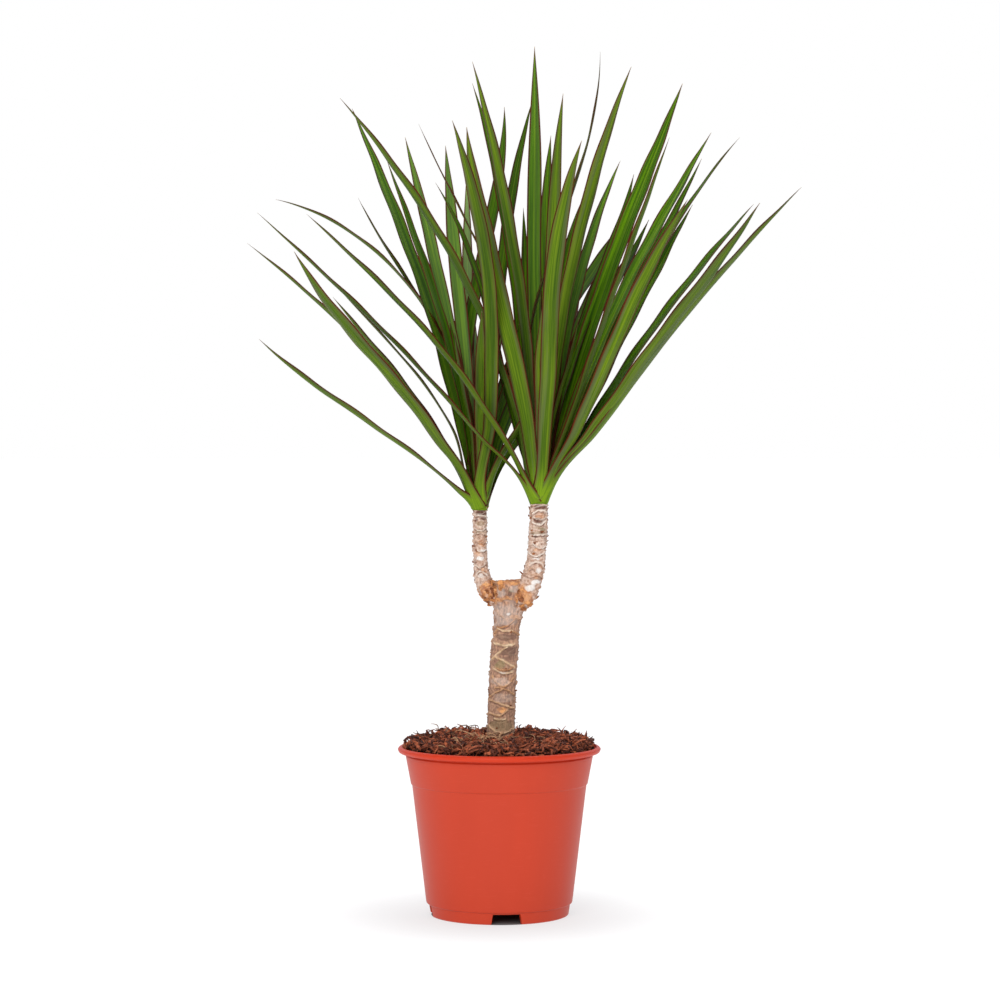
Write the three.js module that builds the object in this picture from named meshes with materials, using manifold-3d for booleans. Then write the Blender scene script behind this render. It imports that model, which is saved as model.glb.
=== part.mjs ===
// A potted dragon tree: a thin moulded pot, the potting mix, one forked cane and two heads of sword
// leaves. Millimetres, +Z up, seen from -Y. The model is built round the pot's axis and shifted at the
// end, so that the origin is the middle of its outer box on the surface it stands on.
import * as THREE from 'three';
import Module from 'manifold-3d';

const wasm = await Module();
wasm.setup();

// ---------------------------------------------------------------- driving dimensions

const GAP = 0.3; // clearance between pieces that touch
const AROUND_POT = 40; // sides of the pot and of the mix inside it

const POT = {
  height: 100,
  rimRadius: 60.3, // outside of the rolled rim
  rimUnder: 94.2, // height where the rim springs from the wall
  rimMiddle: 97.9, // height where the rim is widest
  mouthRadius: 58, // crown of the rolled rim, on its inner side
  mouthInset: 0.7, // the mouth's inner edge is this much narrower, and the mix ends there
  mouthFoot: 98.6, // height of that edge
  flare: 96.4, // height where the wall's inside has opened out into the rim
  neckRadius: 55.6, // wall just under the rim
  neck: 93.6, // height where the inside starts to open out
  stepTop: 76.8, // a small inset step runs round the wall here
  stepRadius: 52.3,
  stepInset: 0.7,
  wallFootRadius: 42.9,
  footRingRadius: 41.8,
  standRadius: 40.7,
  standWidth: 1.3, // flat ring that the pot stands on
  footHeight: 6.6,
  wall: 1.2,
  floorUnder: 6.8, // underside of the raised floor
};
const NOTCH = { count: 4, firstAngle: -84, bottomWidth: 17.6, topWidth: 15.5, height: 6.2 };
const DRAIN = { count: 4, radius: 4, circle: 27 };

const SOIL = {
  crest: 106, // height at the cane
  edge: 98.4, // height at the pot's wall
  lump: 1.0,
  rings: [1, 0.93, 0.84, 0.74, 0.62, 0.5, 0.38, 0.26, 0.15], // shares of the mouth's radius
};

const CANE = {
  // across, depth, up, radius; the first one is the buried end
  main: [[0.5, 0, 72, 8.4], [0.6, 0, 104, 8.3], [1.3, 0, 127, 8.0], [2.2, 0.2, 151, 8.2],
    [4.7, 0.4, 174, 8.0], [5.6, 0.5, 186, 9.4], [5.8, 0.5, 194, 10.2], [5.8, 0.5, 198.5, 9.0]],
  left: [[1.5, 1, 183, 5.6], [-6.4, 3.5, 191, 5.2], [-10.5, 5.2, 200, 4.5], [-11.7, 6, 214, 4.1],
    [-11.5, 6, 226, 4.0], [-11.5, 6, 242, 4.7]],
  right: [[8, 0, 180, 6.4], [15.4, -2.6, 191, 6.6], [19.8, -4.4, 203, 6.1], [21.8, -5, 216, 5.3],
    [22.7, -5, 229, 5.6], [23.3, -5, 242, 5.3]],
  rows: 42, // steps along the main cane, and sides round it
  sides: 16,
  branchRows: 20,
  branchSides: 12,
  scarPitch: 8.5, // height between the raised leaf scars of the main cane
  ringPitch: 4.2, // and of the younger branches
  relief: 0.55,
};
const SPIGOT = { radius: 2.6, length: 11, sides: 16 }; // the branch's soft top, inside the leaf bases

const HEADS = {
  left: { across: -11.6, depth: 6, foot: 243, radius: 5.1, height: 46 },
  right: { across: 23.3, depth: -5, foot: 243, radius: 5.6, height: 48 },
};
const ROOT_OUT = 0.45; // how far from the head's axis a leaf is rooted, as a share of its radius
const BLADE = {
  edge: 0.6, // thickness at the margins
  rib: 0.95, // and along the middle
  fold: 0.2, // depth of the middle under the margins, as a share of the width
  drop: 0.12, // how far the margins lie under the measured line, as a share of the width
  baseFold: 0.2, // added to it at the clasping base
  rows: [0, 0.14, 0.32, 0.52, 0.72, 0.88, 1],
};

// The leaves' lean was measured in the front view, from this far away and at this height.
const VIEW = { distance: 1700, height: 278 };

// One leaf: three points between its margins as [across, up] in the front view, at about a third, at
// two thirds and at the tip; how far the tip lies behind the cane; how late the blade leans that way;
// its width; and its twist in degrees towards the tip.
const LEAVES = {
  left: [
    [-46, 272, -100, 310, -143, 342, -35, 1.0, 10, 0],
    [-43, 294, -91, 351, -122, 394, -105, 1.0, 12, 0],
    [-39, 293, -81, 344, -105, 374, -60, 1.0, 11, 0],
    [-56, 310, -123, 379, -150, 399, -60, 1.0, 11, 0],
    [-28, 293, -65, 341, -99, 376, -15, 1.0, 7, 0],
    [-47, 370, -92, 412, -133, 425, 55, 0.9, 11, 20],
    [-39, 355, -67, 398, -84, 426, 50, 0.9, 9, 20],
    [-29, 333, -55, 406, -87, 479, 70, 1.5, 12, 0],
    [-25, 335, -46, 401, -66, 449, 35, 1.5, 12, 0],
    [-30, 362, -46, 428, -56, 462, 90, 1.3, 9, 0],
    [-23, 359, -28, 413, -32, 457, 110, 1.4, 9, 0],
    [-16, 347, -19, 404, -20, 438, 150, 1.4, 8, 0],
    [-4, 341, -12, 416, -28, 472, -150, 1.5, 9, 0],
    [1, 386, 9.5, 445, 19, 482, 90, 1.3, 8, 0],
    [-6, 410, 1, 447, 3, 480, 150, 1.4, 8, 0],
    [15, 321, 54, 384, 81, 425, 150, 1.2, 12, 0],
    [18, 306, 75, 388, 89, 413, 110, 1.0, 10, 0],
  ],
  right: [
    [-28, 308, -111, 391, -144, 417, -50, 1.0, 8, 0],
    [-10, 313, -78, 386, -114, 417, -70, 1.0, 10, 0],
    [-9, 360, -45, 425, -94, 486, -36, 1.2, 11, 0],
    [-10, 395, -38, 447, -48, 470, 25, 1.2, 7, 0],
    [-3, 347, -22, 406, -38, 435, 35, 1.2, 7, 0],
    [8, 338, -8, 410, -19, 468, -98, 1.4, 12, 0],
    [11, 353, -2, 437, -16, 494, 60, 1.2, 9, 0],
    [15, 359, 2, 437, -16, 507, -40, 1.4, 9, 0],
    [21, 347, 21, 437, 21, 516, 45, 1.2, 9, 0],
    [27, 353, 27, 419, 30, 463, 120, 1.3, 9, 0],
    [30, 359, 33, 431, 38, 488, -60, 1.5, 8, 0],
    [30, 335, 35, 410, 49, 460, -130, 1.3, 9, 0],
    [40, 416, 56, 475, 60, 513, -8, 1.2, 9, 0],
    [38.5, 360, 62, 458, 78.5, 504, -60, 1.6, 9, 0],
    [34, 359, 44, 412, 53, 432, 60, 1.2, 8, 0],
    [43, 362, 56, 409, 72, 448, 100, 1.3, 8, 0],
    [51, 359, 70, 410, 80, 440, 100, 1.2, 11, 0],
    [58, 365, 84, 434, 109, 494, 125, 1.2, 12, 0],
    [62, 366, 86, 426, 101, 462, -66, 1.3, 11, 0],
    [65, 354, 97, 419, 125, 465, 55, 1.2, 11, 0],
    [69, 353, 103, 419, 119, 450, 95, 1.2, 8, 0],
    [68, 341, 95, 397, 112, 425, -95, 1.1, 10, 0],
    [75, 359, 115, 426, 143, 462, -20, 1.1, 10, 0],
    [63, 327, 94, 387, 115, 422, 70, 1.1, 12, 0],
    [69, 321, 117, 385, 151, 422, 55, 1.1, 12, 0],
    [76, 319, 121, 379, 155, 423, -65, 1.1, 12, 0],
    [77, 317, 135, 388, 180, 432, -50, 1.1, 12, 0],
  ],
};

// Older leaves on the side away from the front view stand by a rule: evenly round that side, in
// degrees from +X, each leaning out a little differently.
const REAR = {
  left: { count: 4, from: 76, to: 116 },
  right: { count: 4, from: 60, to: 104 },
  length: 225,
  lean: 52, // degrees from upright
  leanSpread: 14,
  width: 11,
};
const GOLDEN_SHARE = 0.618034; // spreads the rule's leans without a pattern

// ---------------------------------------------------------------- solids from rings and outlines

const radians = THREE.MathUtils.degToRad;

// A closed body through rings of points. Every ring runs the same way round. Sides listed in
// `mirrored` split their quads the other way, so both faces of a thin blade split alike. The ends are
// closed by `endTriangles`, or by a fan to the ring's middle.
function bodyFromRings(rings, mirrored = [], endTriangles = null) {
  const sides = rings[0].length;
  const points = rings.flat();
  const triangles = [];
  for (let row = 0; row + 1 < rings.length; row++) {
    for (let side = 0; side < sides; side++) {
      const a = row * sides + side;
      const b = row * sides + (side + 1) % sides;
      const c = b + sides;
      const d = a + sides;
      if (mirrored.includes(side)) triangles.push([a, b, d], [b, c, d]);
      else triangles.push([a, b, c], [a, c, d]);
    }
  }
  const top = (rings.length - 1) * sides;
  if (endTriangles) {
    for (const [i, j, k] of endTriangles) {
      triangles.push([i, k, j], [top + i, top + j, top + k]);
    }
  } else {
    const middles = [rings[0], rings.at(-1)].map((ring) => ring
      .reduce((sum, point) => sum.add(point), new THREE.Vector3()).divideScalar(sides));
    points.push(...middles);
    for (let side = 0; side < sides; side++) {
      const next = (side + 1) % sides;
      triangles.push([next, side, points.length - 2], [top + side, top + next, points.length - 1]);
    }
  }
  return solid(points.flatMap((point) => point.toArray()), triangles.flat());
}

function solid(coordinates, indices) {
  return new wasm.Manifold(new wasm.Mesh({
    numProp: 3,
    vertProperties: new Float32Array(coordinates),
    triVerts: new Uint32Array(indices),
  }));
}

// A three.js geometry as a solid: its vertices are merged by place.
function solidOf(geometry) {
  const source = geometry.index ? geometry.toNonIndexed() : geometry;
  const place = source.getAttribute('position');
  const seen = new Map();
  const coordinates = [];
  const indices = [];
  for (let i = 0; i < place.count; i++) {
    const point = [place.getX(i), place.getY(i), place.getZ(i)];
    const key = point.map((value) => Math.round(value * 1e4)).join();
    if (!seen.has(key)) {
      seen.set(key, seen.size);
      coordinates.push(...point);
    }
    indices.push(seen.get(key));
  }
  const triangles = [];
  for (let i = 0; i < indices.length; i += 3) {
    const [a, b, c] = indices.slice(i, i + 3);
    if (a !== b && b !== c && c !== a) triangles.push(a, b, c);
  }
  return solid(coordinates, triangles);
}

// A profile of [radius, height] points turned round the upright axis.
function turned(profile, sides = AROUND_POT) {
  const outline = profile.map(([radius, height]) => new THREE.Vector2(radius, height));
  const geometry = new THREE.LatheGeometry(outline, sides);
  geometry.rotateX(Math.PI / 2);
  return solidOf(geometry);
}

function cylinder(radius, bottom, top, across, depth, sides = 20) {
  const geometry = new THREE.CylinderGeometry(radius, radius, top - bottom, sides);
  geometry.rotateX(Math.PI / 2);
  geometry.translate(across, depth, (bottom + top) / 2);
  return solidOf(geometry);
}

// ---------------------------------------------------------------- pot

// The pot's inner wall, from the mouth down to the floor, moved in by `inset`.
function potInside(inset) {
  const p = POT;
  return [
    [p.wallFootRadius - p.wall - inset, p.floorUnder + p.wall + inset],
    [p.stepRadius - p.stepInset - p.wall - inset, p.stepTop - p.wall],
    [p.stepRadius - p.wall - inset, p.stepTop + 0.4],
    [p.neckRadius - p.wall - inset, p.neck],
    [p.neckRadius + 0.2 - inset, p.flare],
    [p.mouthRadius - p.mouthInset - inset, p.mouthFoot],
  ];
}

// The outside, from the middle of the floor out to the foot ring and up to the rolled rim.
function potOutside() {
  const p = POT;
  const standOuter = p.standRadius - 0.7;
  const standInner = standOuter - p.standWidth;
  return [
    [0, p.floorUnder], [standInner - 0.2, p.floorUnder],
    [standInner, 0], [standOuter, 0],
    [p.standRadius, 0.7], [p.standRadius + 0.3, 2],
    [p.footRingRadius, p.footHeight], [p.wallFootRadius, p.footHeight + 0.8],
    [p.stepRadius - p.stepInset, p.stepTop - 0.6], [p.stepRadius, p.stepTop],
    [p.neckRadius, p.rimUnder],
    [p.rimRadius - 0.9, p.rimUnder + 1.2], [p.rimRadius - 0.15, p.rimUnder + 2.1],
    [p.rimRadius, p.rimMiddle], [p.rimRadius - 0.6, p.height - 0.7],
    [p.rimRadius - 1.5, p.height], [p.mouthRadius, p.height - 0.25],
  ];
}

// A drain notch: a wedge that runs out through the foot ring towards `angle`.
function notchCut(angle) {
  const below = 0.6;
  const inner = POT.standRadius - 10.7;
  const outline = new THREE.Shape([
    new THREE.Vector2(-NOTCH.bottomWidth / 2, -below),
    new THREE.Vector2(NOTCH.bottomWidth / 2, -below),
    new THREE.Vector2(NOTCH.topWidth / 2, NOTCH.height),
    new THREE.Vector2(-NOTCH.topWidth / 2, NOTCH.height),
  ]);
  const cut = new THREE.ExtrudeGeometry(outline, { depth: 20, bevelEnabled: false });
  cut.rotateX(Math.PI / 2); // the outline stands upright and the cut runs along -Y
  cut.translate(0, -inner, 0);
  cut.rotateZ(angle + Math.PI / 2);
  return solidOf(cut);
}

function makePot() {
  const floorTop = POT.floorUnder + POT.wall;
  let pot = turned([...potOutside(), ...potInside(0).reverse(), [0, floorTop]]);
  for (let i = 0; i < NOTCH.count; i++) {
    const angle = radians(NOTCH.firstAngle + (360 / NOTCH.count) * i);
    pot = pot.subtract(notchCut(angle));
  }
  for (let i = 0; i < DRAIN.count; i++) {
    const angle = radians(NOTCH.firstAngle + (360 / DRAIN.count) * (i + 0.5));
    const across = DRAIN.circle * Math.cos(angle);
    const depth = DRAIN.circle * Math.sin(angle);
    pot = pot.subtract(cylinder(DRAIN.radius, 0, floorTop + 1, across, depth));
  }
  return pot;
}

// ---------------------------------------------------------------- potting mix

// Height of the mix's surface: a low mound with soft lumps.
function soilTop(radius, angle) {
  const edge = POT.mouthRadius - POT.mouthInset - GAP;
  const share = radius / edge;
  const mound = SOIL.edge + (SOIL.crest - SOIL.edge) * (1 - share ** 2.6);
  const x = radius * Math.cos(angle);
  const y = radius * Math.sin(angle);
  const lumps = Math.sin(0.31 * x + 1.3) * Math.cos(0.27 * y + 0.4)
    + 0.6 * Math.sin(0.53 * x - 0.41 * y) * Math.cos(0.47 * x + 0.6 * y + 1);
  return mound + SOIL.lump * lumps * (1 - share ** 4);
}

function makeSoil() {
  const wall = potInside(GAP);
  const angles = Array.from({ length: AROUND_POT }, (_, i) => (2 * Math.PI * i) / AROUND_POT);
  const ring = (radius, height) => angles.map((angle) => new THREE.Vector3(
    radius * Math.cos(angle), radius * Math.sin(angle), height(angle)));
  const edge = wall.pop()[0]; // the surface starts where the wall ends
  const rings = wall.map(([radius, height]) => ring(radius, () => height));
  for (const share of SOIL.rings) {
    rings.push(ring(edge * share, (angle) => soilTop(edge * share, angle)));
  }
  const [across, depth, foot, radius] = CANE.main[0];
  const hole = cylinder(radius + 2 * GAP, foot - GAP, SOIL.crest + 20, across, depth, 24);
  return bodyFromRings(rings).subtract(hole);
}

// ---------------------------------------------------------------- cane

// Raised net of old leaf scars on the main cane: two crossing sets of low waves that climb it.
function scarNet(angle, height) {
  const climb = (2 * Math.PI * height) / CANE.scarPitch;
  const net = Math.abs(Math.sin((climb + 2 * angle) / 2) * Math.sin((climb - 2 * angle) / 2));
  return CANE.relief * ((1 - net) ** 3 - 0.3);
}

// Close rings on the young branches.
function branchRings(angle, height) {
  const wave = Math.sin((2 * Math.PI * height) / CANE.ringPitch + 0.9 * Math.sin(angle + height / 9));
  return CANE.relief * 0.55 * wave;
}

// A tapering limb through [across, depth, up, radius] points, with relief raised by a formula.
function limb(stations, rows, sides, relief) {
  const path = new THREE.CatmullRomCurve3(stations.map(([x, y, z]) => new THREE.Vector3(x, y, z)));
  const sizes = new THREE.CatmullRomCurve3(stations.map((s, i) => new THREE.Vector3(s[3], i, 0)));
  const rings = [];
  for (let row = 0; row <= rows; row++) {
    const share = row / rows;
    const middle = path.getPoint(share);
    const along = path.getTangent(share);
    const side = new THREE.Vector3(1, 0, 0).addScaledVector(along, -along.x).normalize();
    const back = along.clone().cross(side);
    const radius = sizes.getPoint(share).x;
    rings.push(Array.from({ length: sides }, (_, i) => {
      const angle = (2 * Math.PI * i) / sides;
      const reach = radius + relief(angle, middle.z);
      return middle.clone().addScaledVector(side, reach * Math.cos(angle))
        .addScaledVector(back, reach * Math.sin(angle));
    }));
  }
  return bodyFromRings(rings);
}

// The buried foot is plain and round, so the relief fades out below the surface of the mix.
function caneRelief(angle, height) {
  return scarNet(angle, height) * THREE.MathUtils.smoothstep(height, SOIL.crest - 3, SOIL.crest + 5);
}

function makeTrunk() {
  let cane = limb(CANE.main, CANE.rows, CANE.sides, caneRelief);
  for (const branch of [CANE.left, CANE.right]) {
    cane = cane.add(limb(branch, CANE.branchRows, CANE.branchSides, branchRings));
  }
  for (const head of Object.values(HEADS)) {
    cane = cane.add(cylinder(SPIGOT.radius, head.foot - 6, head.foot + SPIGOT.length, head.across,
      head.depth, SPIGOT.sides));
  }
  return cane;
}

// ---------------------------------------------------------------- leaf heads

// A point of the front view, carried `depth` back along the line of sight.
function inSpace(across, up, depth) {
  const stretch = (VIEW.distance + depth) / VIEW.distance;
  return new THREE.Vector3(across * stretch, depth, VIEW.height + (up - VIEW.height) * stretch);
}

// The one cubic through four points, spaced by the lengths between them.
function throughPoints(points) {
  const spans = points.slice(1).map((point, i) => point.distanceTo(points[i]));
  const total = spans[0] + spans[1] + spans[2];
  const knots = [0, spans[0] / total, (spans[0] + spans[1]) / total, 1];
  return (share) => {
    const place = new THREE.Vector3();
    points.forEach((point, i) => {
      const weight = knots.reduce((product, knot, j) => (
        j === i ? product : product * ((share - knot) / (knots[i] - knot))), 1);
      place.addScaledVector(point, weight);
    });
    return place;
  };
}

// The outer skin alone: small hollows closed in between fused leaves are filled.
function withoutHollows(body) {
  return body.decompose().reduce((largest, piece) => (
    piece.volume() > largest.volume() ? piece : largest));
}

// Blade width along the leaf: broad clasping base, slight waist, full from the middle on, fine tip.
function widthShare(share) {
  const tip = Math.sin((Math.PI / 2) * Math.min(1, (1 - share) / 0.38)) ** 1.1;
  const waist = 1 - 0.22 * Math.exp(-(((share - 0.14) / 0.1) ** 2));
  return Math.max(tip * waist, 0.09);
}

// The height on the head's axis where a leaf is rooted: the more upright, the higher.
function rootHeight(lean) {
  return 5 + 26 * Math.max(0, 1 - lean / 60);
}

// One leaf as a thin folded blade with its root inside the head's core.
function leaf(head, points, width, twist) {
  const reach = points[2].clone().sub(new THREE.Vector3(head.across, head.depth, head.foot));
  const lean = THREE.MathUtils.radToDeg(Math.atan2(Math.hypot(reach.x, reach.y), reach.z));
  const root = new THREE.Vector3(head.across, head.depth, head.foot + rootHeight(lean));
  const outward = new THREE.Vector3(reach.x, reach.y, 0).normalize();
  root.addScaledVector(outward, ROOT_OUT * head.radius);
  const midline = throughPoints([root, ...points]);
  const rings = BLADE.rows.map((share) => {
    const middle = midline(share);
    const along = midline(share + 0.01).sub(midline(share - 0.01)).normalize();
    const side = new THREE.Vector3(-reach.y, reach.x, 0).normalize();
    side.addScaledVector(along, -side.dot(along)).normalize();
    side.applyAxisAngle(along, radians(twist * share));
    const face = along.clone().cross(side); // the upper face looks up and to the axis
    const half = (width * widthShare(share)) / 2;
    const trough = 2 * half * (BLADE.fold + BLADE.baseFold * Math.exp(-share * 12));
    const drop = 2 * half * BLADE.drop;
    const at = (sideways, out) => middle.clone().addScaledVector(side, sideways)
      .addScaledVector(face, out - drop);
    return [
      at(-half, -BLADE.edge / 2), at(0, -trough - BLADE.rib / 2), at(half, -BLADE.edge / 2),
      at(half, BLADE.edge / 2), at(0, BLADE.rib / 2 - trough), at(-half, BLADE.edge / 2),
    ];
  });
  return bodyFromRings(rings, [3, 4], [[0, 1, 4], [0, 4, 5], [1, 2, 3], [1, 3, 4]]);
}

function measuredLeaf(head, row) {
  const [across1, up1, across2, up2, across3, up3, depth, late, width, twist] = row;
  const marks = [[across1, up1], [across2, up2], [across3, up3]];
  let run = 0;
  let last = [head.across, head.foot + 15];
  const runs = marks.map((mark) => {
    run += Math.hypot(mark[0] - last[0], mark[1] - last[1]);
    last = mark;
    return run;
  });
  const points = marks.map(([across, up], i) => {
    const share = runs[i] / run;
    return inSpace(across, up, head.depth + (depth - head.depth) * share ** late);
  });
  return leaf(head, points, width, twist);
}

// A leaf of the rule for the far side: it arches out, leaning a little more towards its tip.
function rearLeaf(head, sector, index) {
  const golden = (index * GOLDEN_SHARE) % 1;
  const angle = radians(sector.from + ((sector.to - sector.from) * (index + 0.5)) / sector.count);
  const lean = radians(REAR.lean + REAR.leanSpread * (golden - 0.5));
  const length = REAR.length * (0.85 + 0.25 * golden);
  const points = [0.36, 0.7, 1].map((share) => {
    const bend = lean * (0.82 + 0.28 * share);
    const out = length * share * Math.sin(bend);
    return new THREE.Vector3(head.across + out * Math.cos(angle), head.depth + out * Math.sin(angle),
      head.foot + 12 + length * share * Math.cos(bend));
  });
  return leaf(head, points, REAR.width, 0);
}

// The head's own stem, hidden by the leaf bases, with a plain socket for the branch's top.
function headCore(head) {
  const profile = [[0, 0], [head.radius, 0], [head.radius + 1.9, 7], [head.radius + 1.4, 15],
    [head.radius - 2, 32], [1.2, head.height], [0, head.height + 1]];
  return turned(profile, 14).translate([head.across, head.depth, head.foot + GAP / 2]);
}

function socketCut(head) {
  return cylinder(SPIGOT.radius + GAP, head.foot - 5, head.foot + SPIGOT.length + GAP, head.across,
    head.depth, SPIGOT.sides);
}

// Everything under the head's foot, where blades would otherwise reach into the branch.
function underCut(head) {
  return cylinder(head.radius + 30, head.foot - 40, head.foot + GAP / 2, head.across, head.depth, 16);
}

function makeHead(side) {
  const head = HEADS[side];
  const sector = REAR[side];
  let whole = headCore(head);
  for (const row of LEAVES[side]) whole = whole.add(measuredLeaf(head, row));
  for (let index = 0; index < sector.count; index++) {
    whole = whole.add(rearLeaf(head, sector, index));
  }
  return withoutHollows(whole.subtract(socketCut(head)).subtract(underCut(head)));
}

// ---------------------------------------------------------------- the plant

function meshOf(name, body, look) {
  const { vertProperties, numProp, triVerts } = body.getMesh();
  const coordinates = new Float32Array((vertProperties.length / numProp) * 3);
  for (let i = 0; i < coordinates.length / 3; i++) {
    coordinates.set(vertProperties.subarray(i * numProp, i * numProp + 3), i * 3);
  }
  const geometry = new THREE.BufferGeometry();
  geometry.setAttribute('position', new THREE.BufferAttribute(coordinates, 3));
  geometry.setIndex(new THREE.BufferAttribute(new Uint32Array(triVerts), 1));
  geometry.computeVertexNormals();
  const mesh = new THREE.Mesh(geometry, new THREE.MeshStandardMaterial(look));
  mesh.name = name;
  return mesh;
}

const plant = new THREE.Group();
plant.add(meshOf('pot', makePot(), { color: 0xcf4b31, roughness: 0.45, metalness: 0 }));
plant.add(meshOf('soil', makeSoil(), { color: 0x4a2a1c, roughness: 0.95, metalness: 0 }));
plant.add(meshOf('trunk', makeTrunk(), { color: 0xa98c7a, roughness: 0.85, metalness: 0 }));
plant.add(meshOf('left_crown', makeHead('left'), { color: 0x4c7a1c, roughness: 0.5, metalness: 0 }));
plant.add(meshOf('right_crown', makeHead('right'), { color: 0x4c7a1c, roughness: 0.5, metalness: 0 }));

const box = new THREE.Box3().setFromObject(plant);
const middle = box.getCenter(new THREE.Vector3());
plant.children.forEach((mesh) => mesh.geometry.translate(-middle.x, -middle.y, 0));

export default plant;
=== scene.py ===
"""A potted dragon tree, dressed round its packed frame.

Shapes are worked out in millimetres round the pot's axis and placed in metres in the frame.
Seen from -Y, `across` runs to +X, `depth` away along +Y and `up` along +Z.
"""
import math

import bpy
import numpy as np
from bpy.props import FloatProperty, FloatVectorProperty, IntProperty, PointerProperty
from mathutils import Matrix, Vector


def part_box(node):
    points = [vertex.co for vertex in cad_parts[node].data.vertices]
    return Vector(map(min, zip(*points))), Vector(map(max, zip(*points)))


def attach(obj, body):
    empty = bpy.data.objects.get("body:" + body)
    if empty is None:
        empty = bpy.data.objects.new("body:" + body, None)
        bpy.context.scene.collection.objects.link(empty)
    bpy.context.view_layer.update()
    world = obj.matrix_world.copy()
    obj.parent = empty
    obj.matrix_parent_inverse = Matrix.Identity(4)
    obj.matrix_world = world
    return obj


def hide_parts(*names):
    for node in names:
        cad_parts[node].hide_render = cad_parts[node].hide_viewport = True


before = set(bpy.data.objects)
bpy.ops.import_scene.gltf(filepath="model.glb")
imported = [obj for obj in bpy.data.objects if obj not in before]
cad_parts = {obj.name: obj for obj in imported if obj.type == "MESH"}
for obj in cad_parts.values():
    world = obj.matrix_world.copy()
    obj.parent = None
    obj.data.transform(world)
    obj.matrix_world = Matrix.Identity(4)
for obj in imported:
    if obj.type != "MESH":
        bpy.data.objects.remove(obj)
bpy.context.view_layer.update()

bl_info = {
    "name": "Potted dragon tree",
    "version": (1, 0, 0),
    "blender": (4, 5, 0),
    "location": "3D View > Sidebar > Dragon tree",
    "description": "Builds a forked dragon tree in a nursery pot, and a plain stage for it",
    "category": "Add Mesh",
}

MM = 0.001
UP = np.array([0.0, 0.0, 1.0])
TOWARDS_VIEW = np.array([0.0, -1.0, 0.0])
BODY = "root"
POT_LOW, POT_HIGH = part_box("pot")
POT_AXIS = np.array([(POT_LOW.x + POT_HIGH.x) / 2, (POT_LOW.y + POT_HIGH.y) / 2, 0.0])
RIM_RADIUS = (POT_HIGH.x - POT_LOW.x) / 2
POT_HEIGHT = POT_HIGH.z - POT_LOW.z

# ------------------------------------------------------------------ the plant's measured form, in mm

# The cane and its two branches: across, depth, up, radius.
CANE = {
    "main": [(0.5, 0, 90, 8.4), (0.7, 0, 104, 8.3), (1.6, 0, 127, 8.0), (2.6, 0.2, 151, 8.2),
             (4.9, 0.4, 174, 8.1), (5.7, 0.5, 186, 9.4), (5.9, 0.5, 194, 10.1), (5.8, 0.5, 197.7, 9.2)],
    "left": [(2.5, 1, 185.5, 5.2), (-6.2, 3.2, 191.7, 5.6), (-10.2, 5.2, 200.3, 4.7), (-11.4, 6, 214, 4.1),
             (-11.5, 6, 226, 4.0), (-11.5, 6, 244, 4.4)],
    "right": [(8, 0, 181.6, 6.0), (15.9, -2.6, 191.5, 6.5), (20.3, -4.4, 203, 6.0), (22.2, -5, 216, 5.3),
              (23.1, -5, 229, 5.5), (23.4, -5, 244, 5.2)],
}
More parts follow.
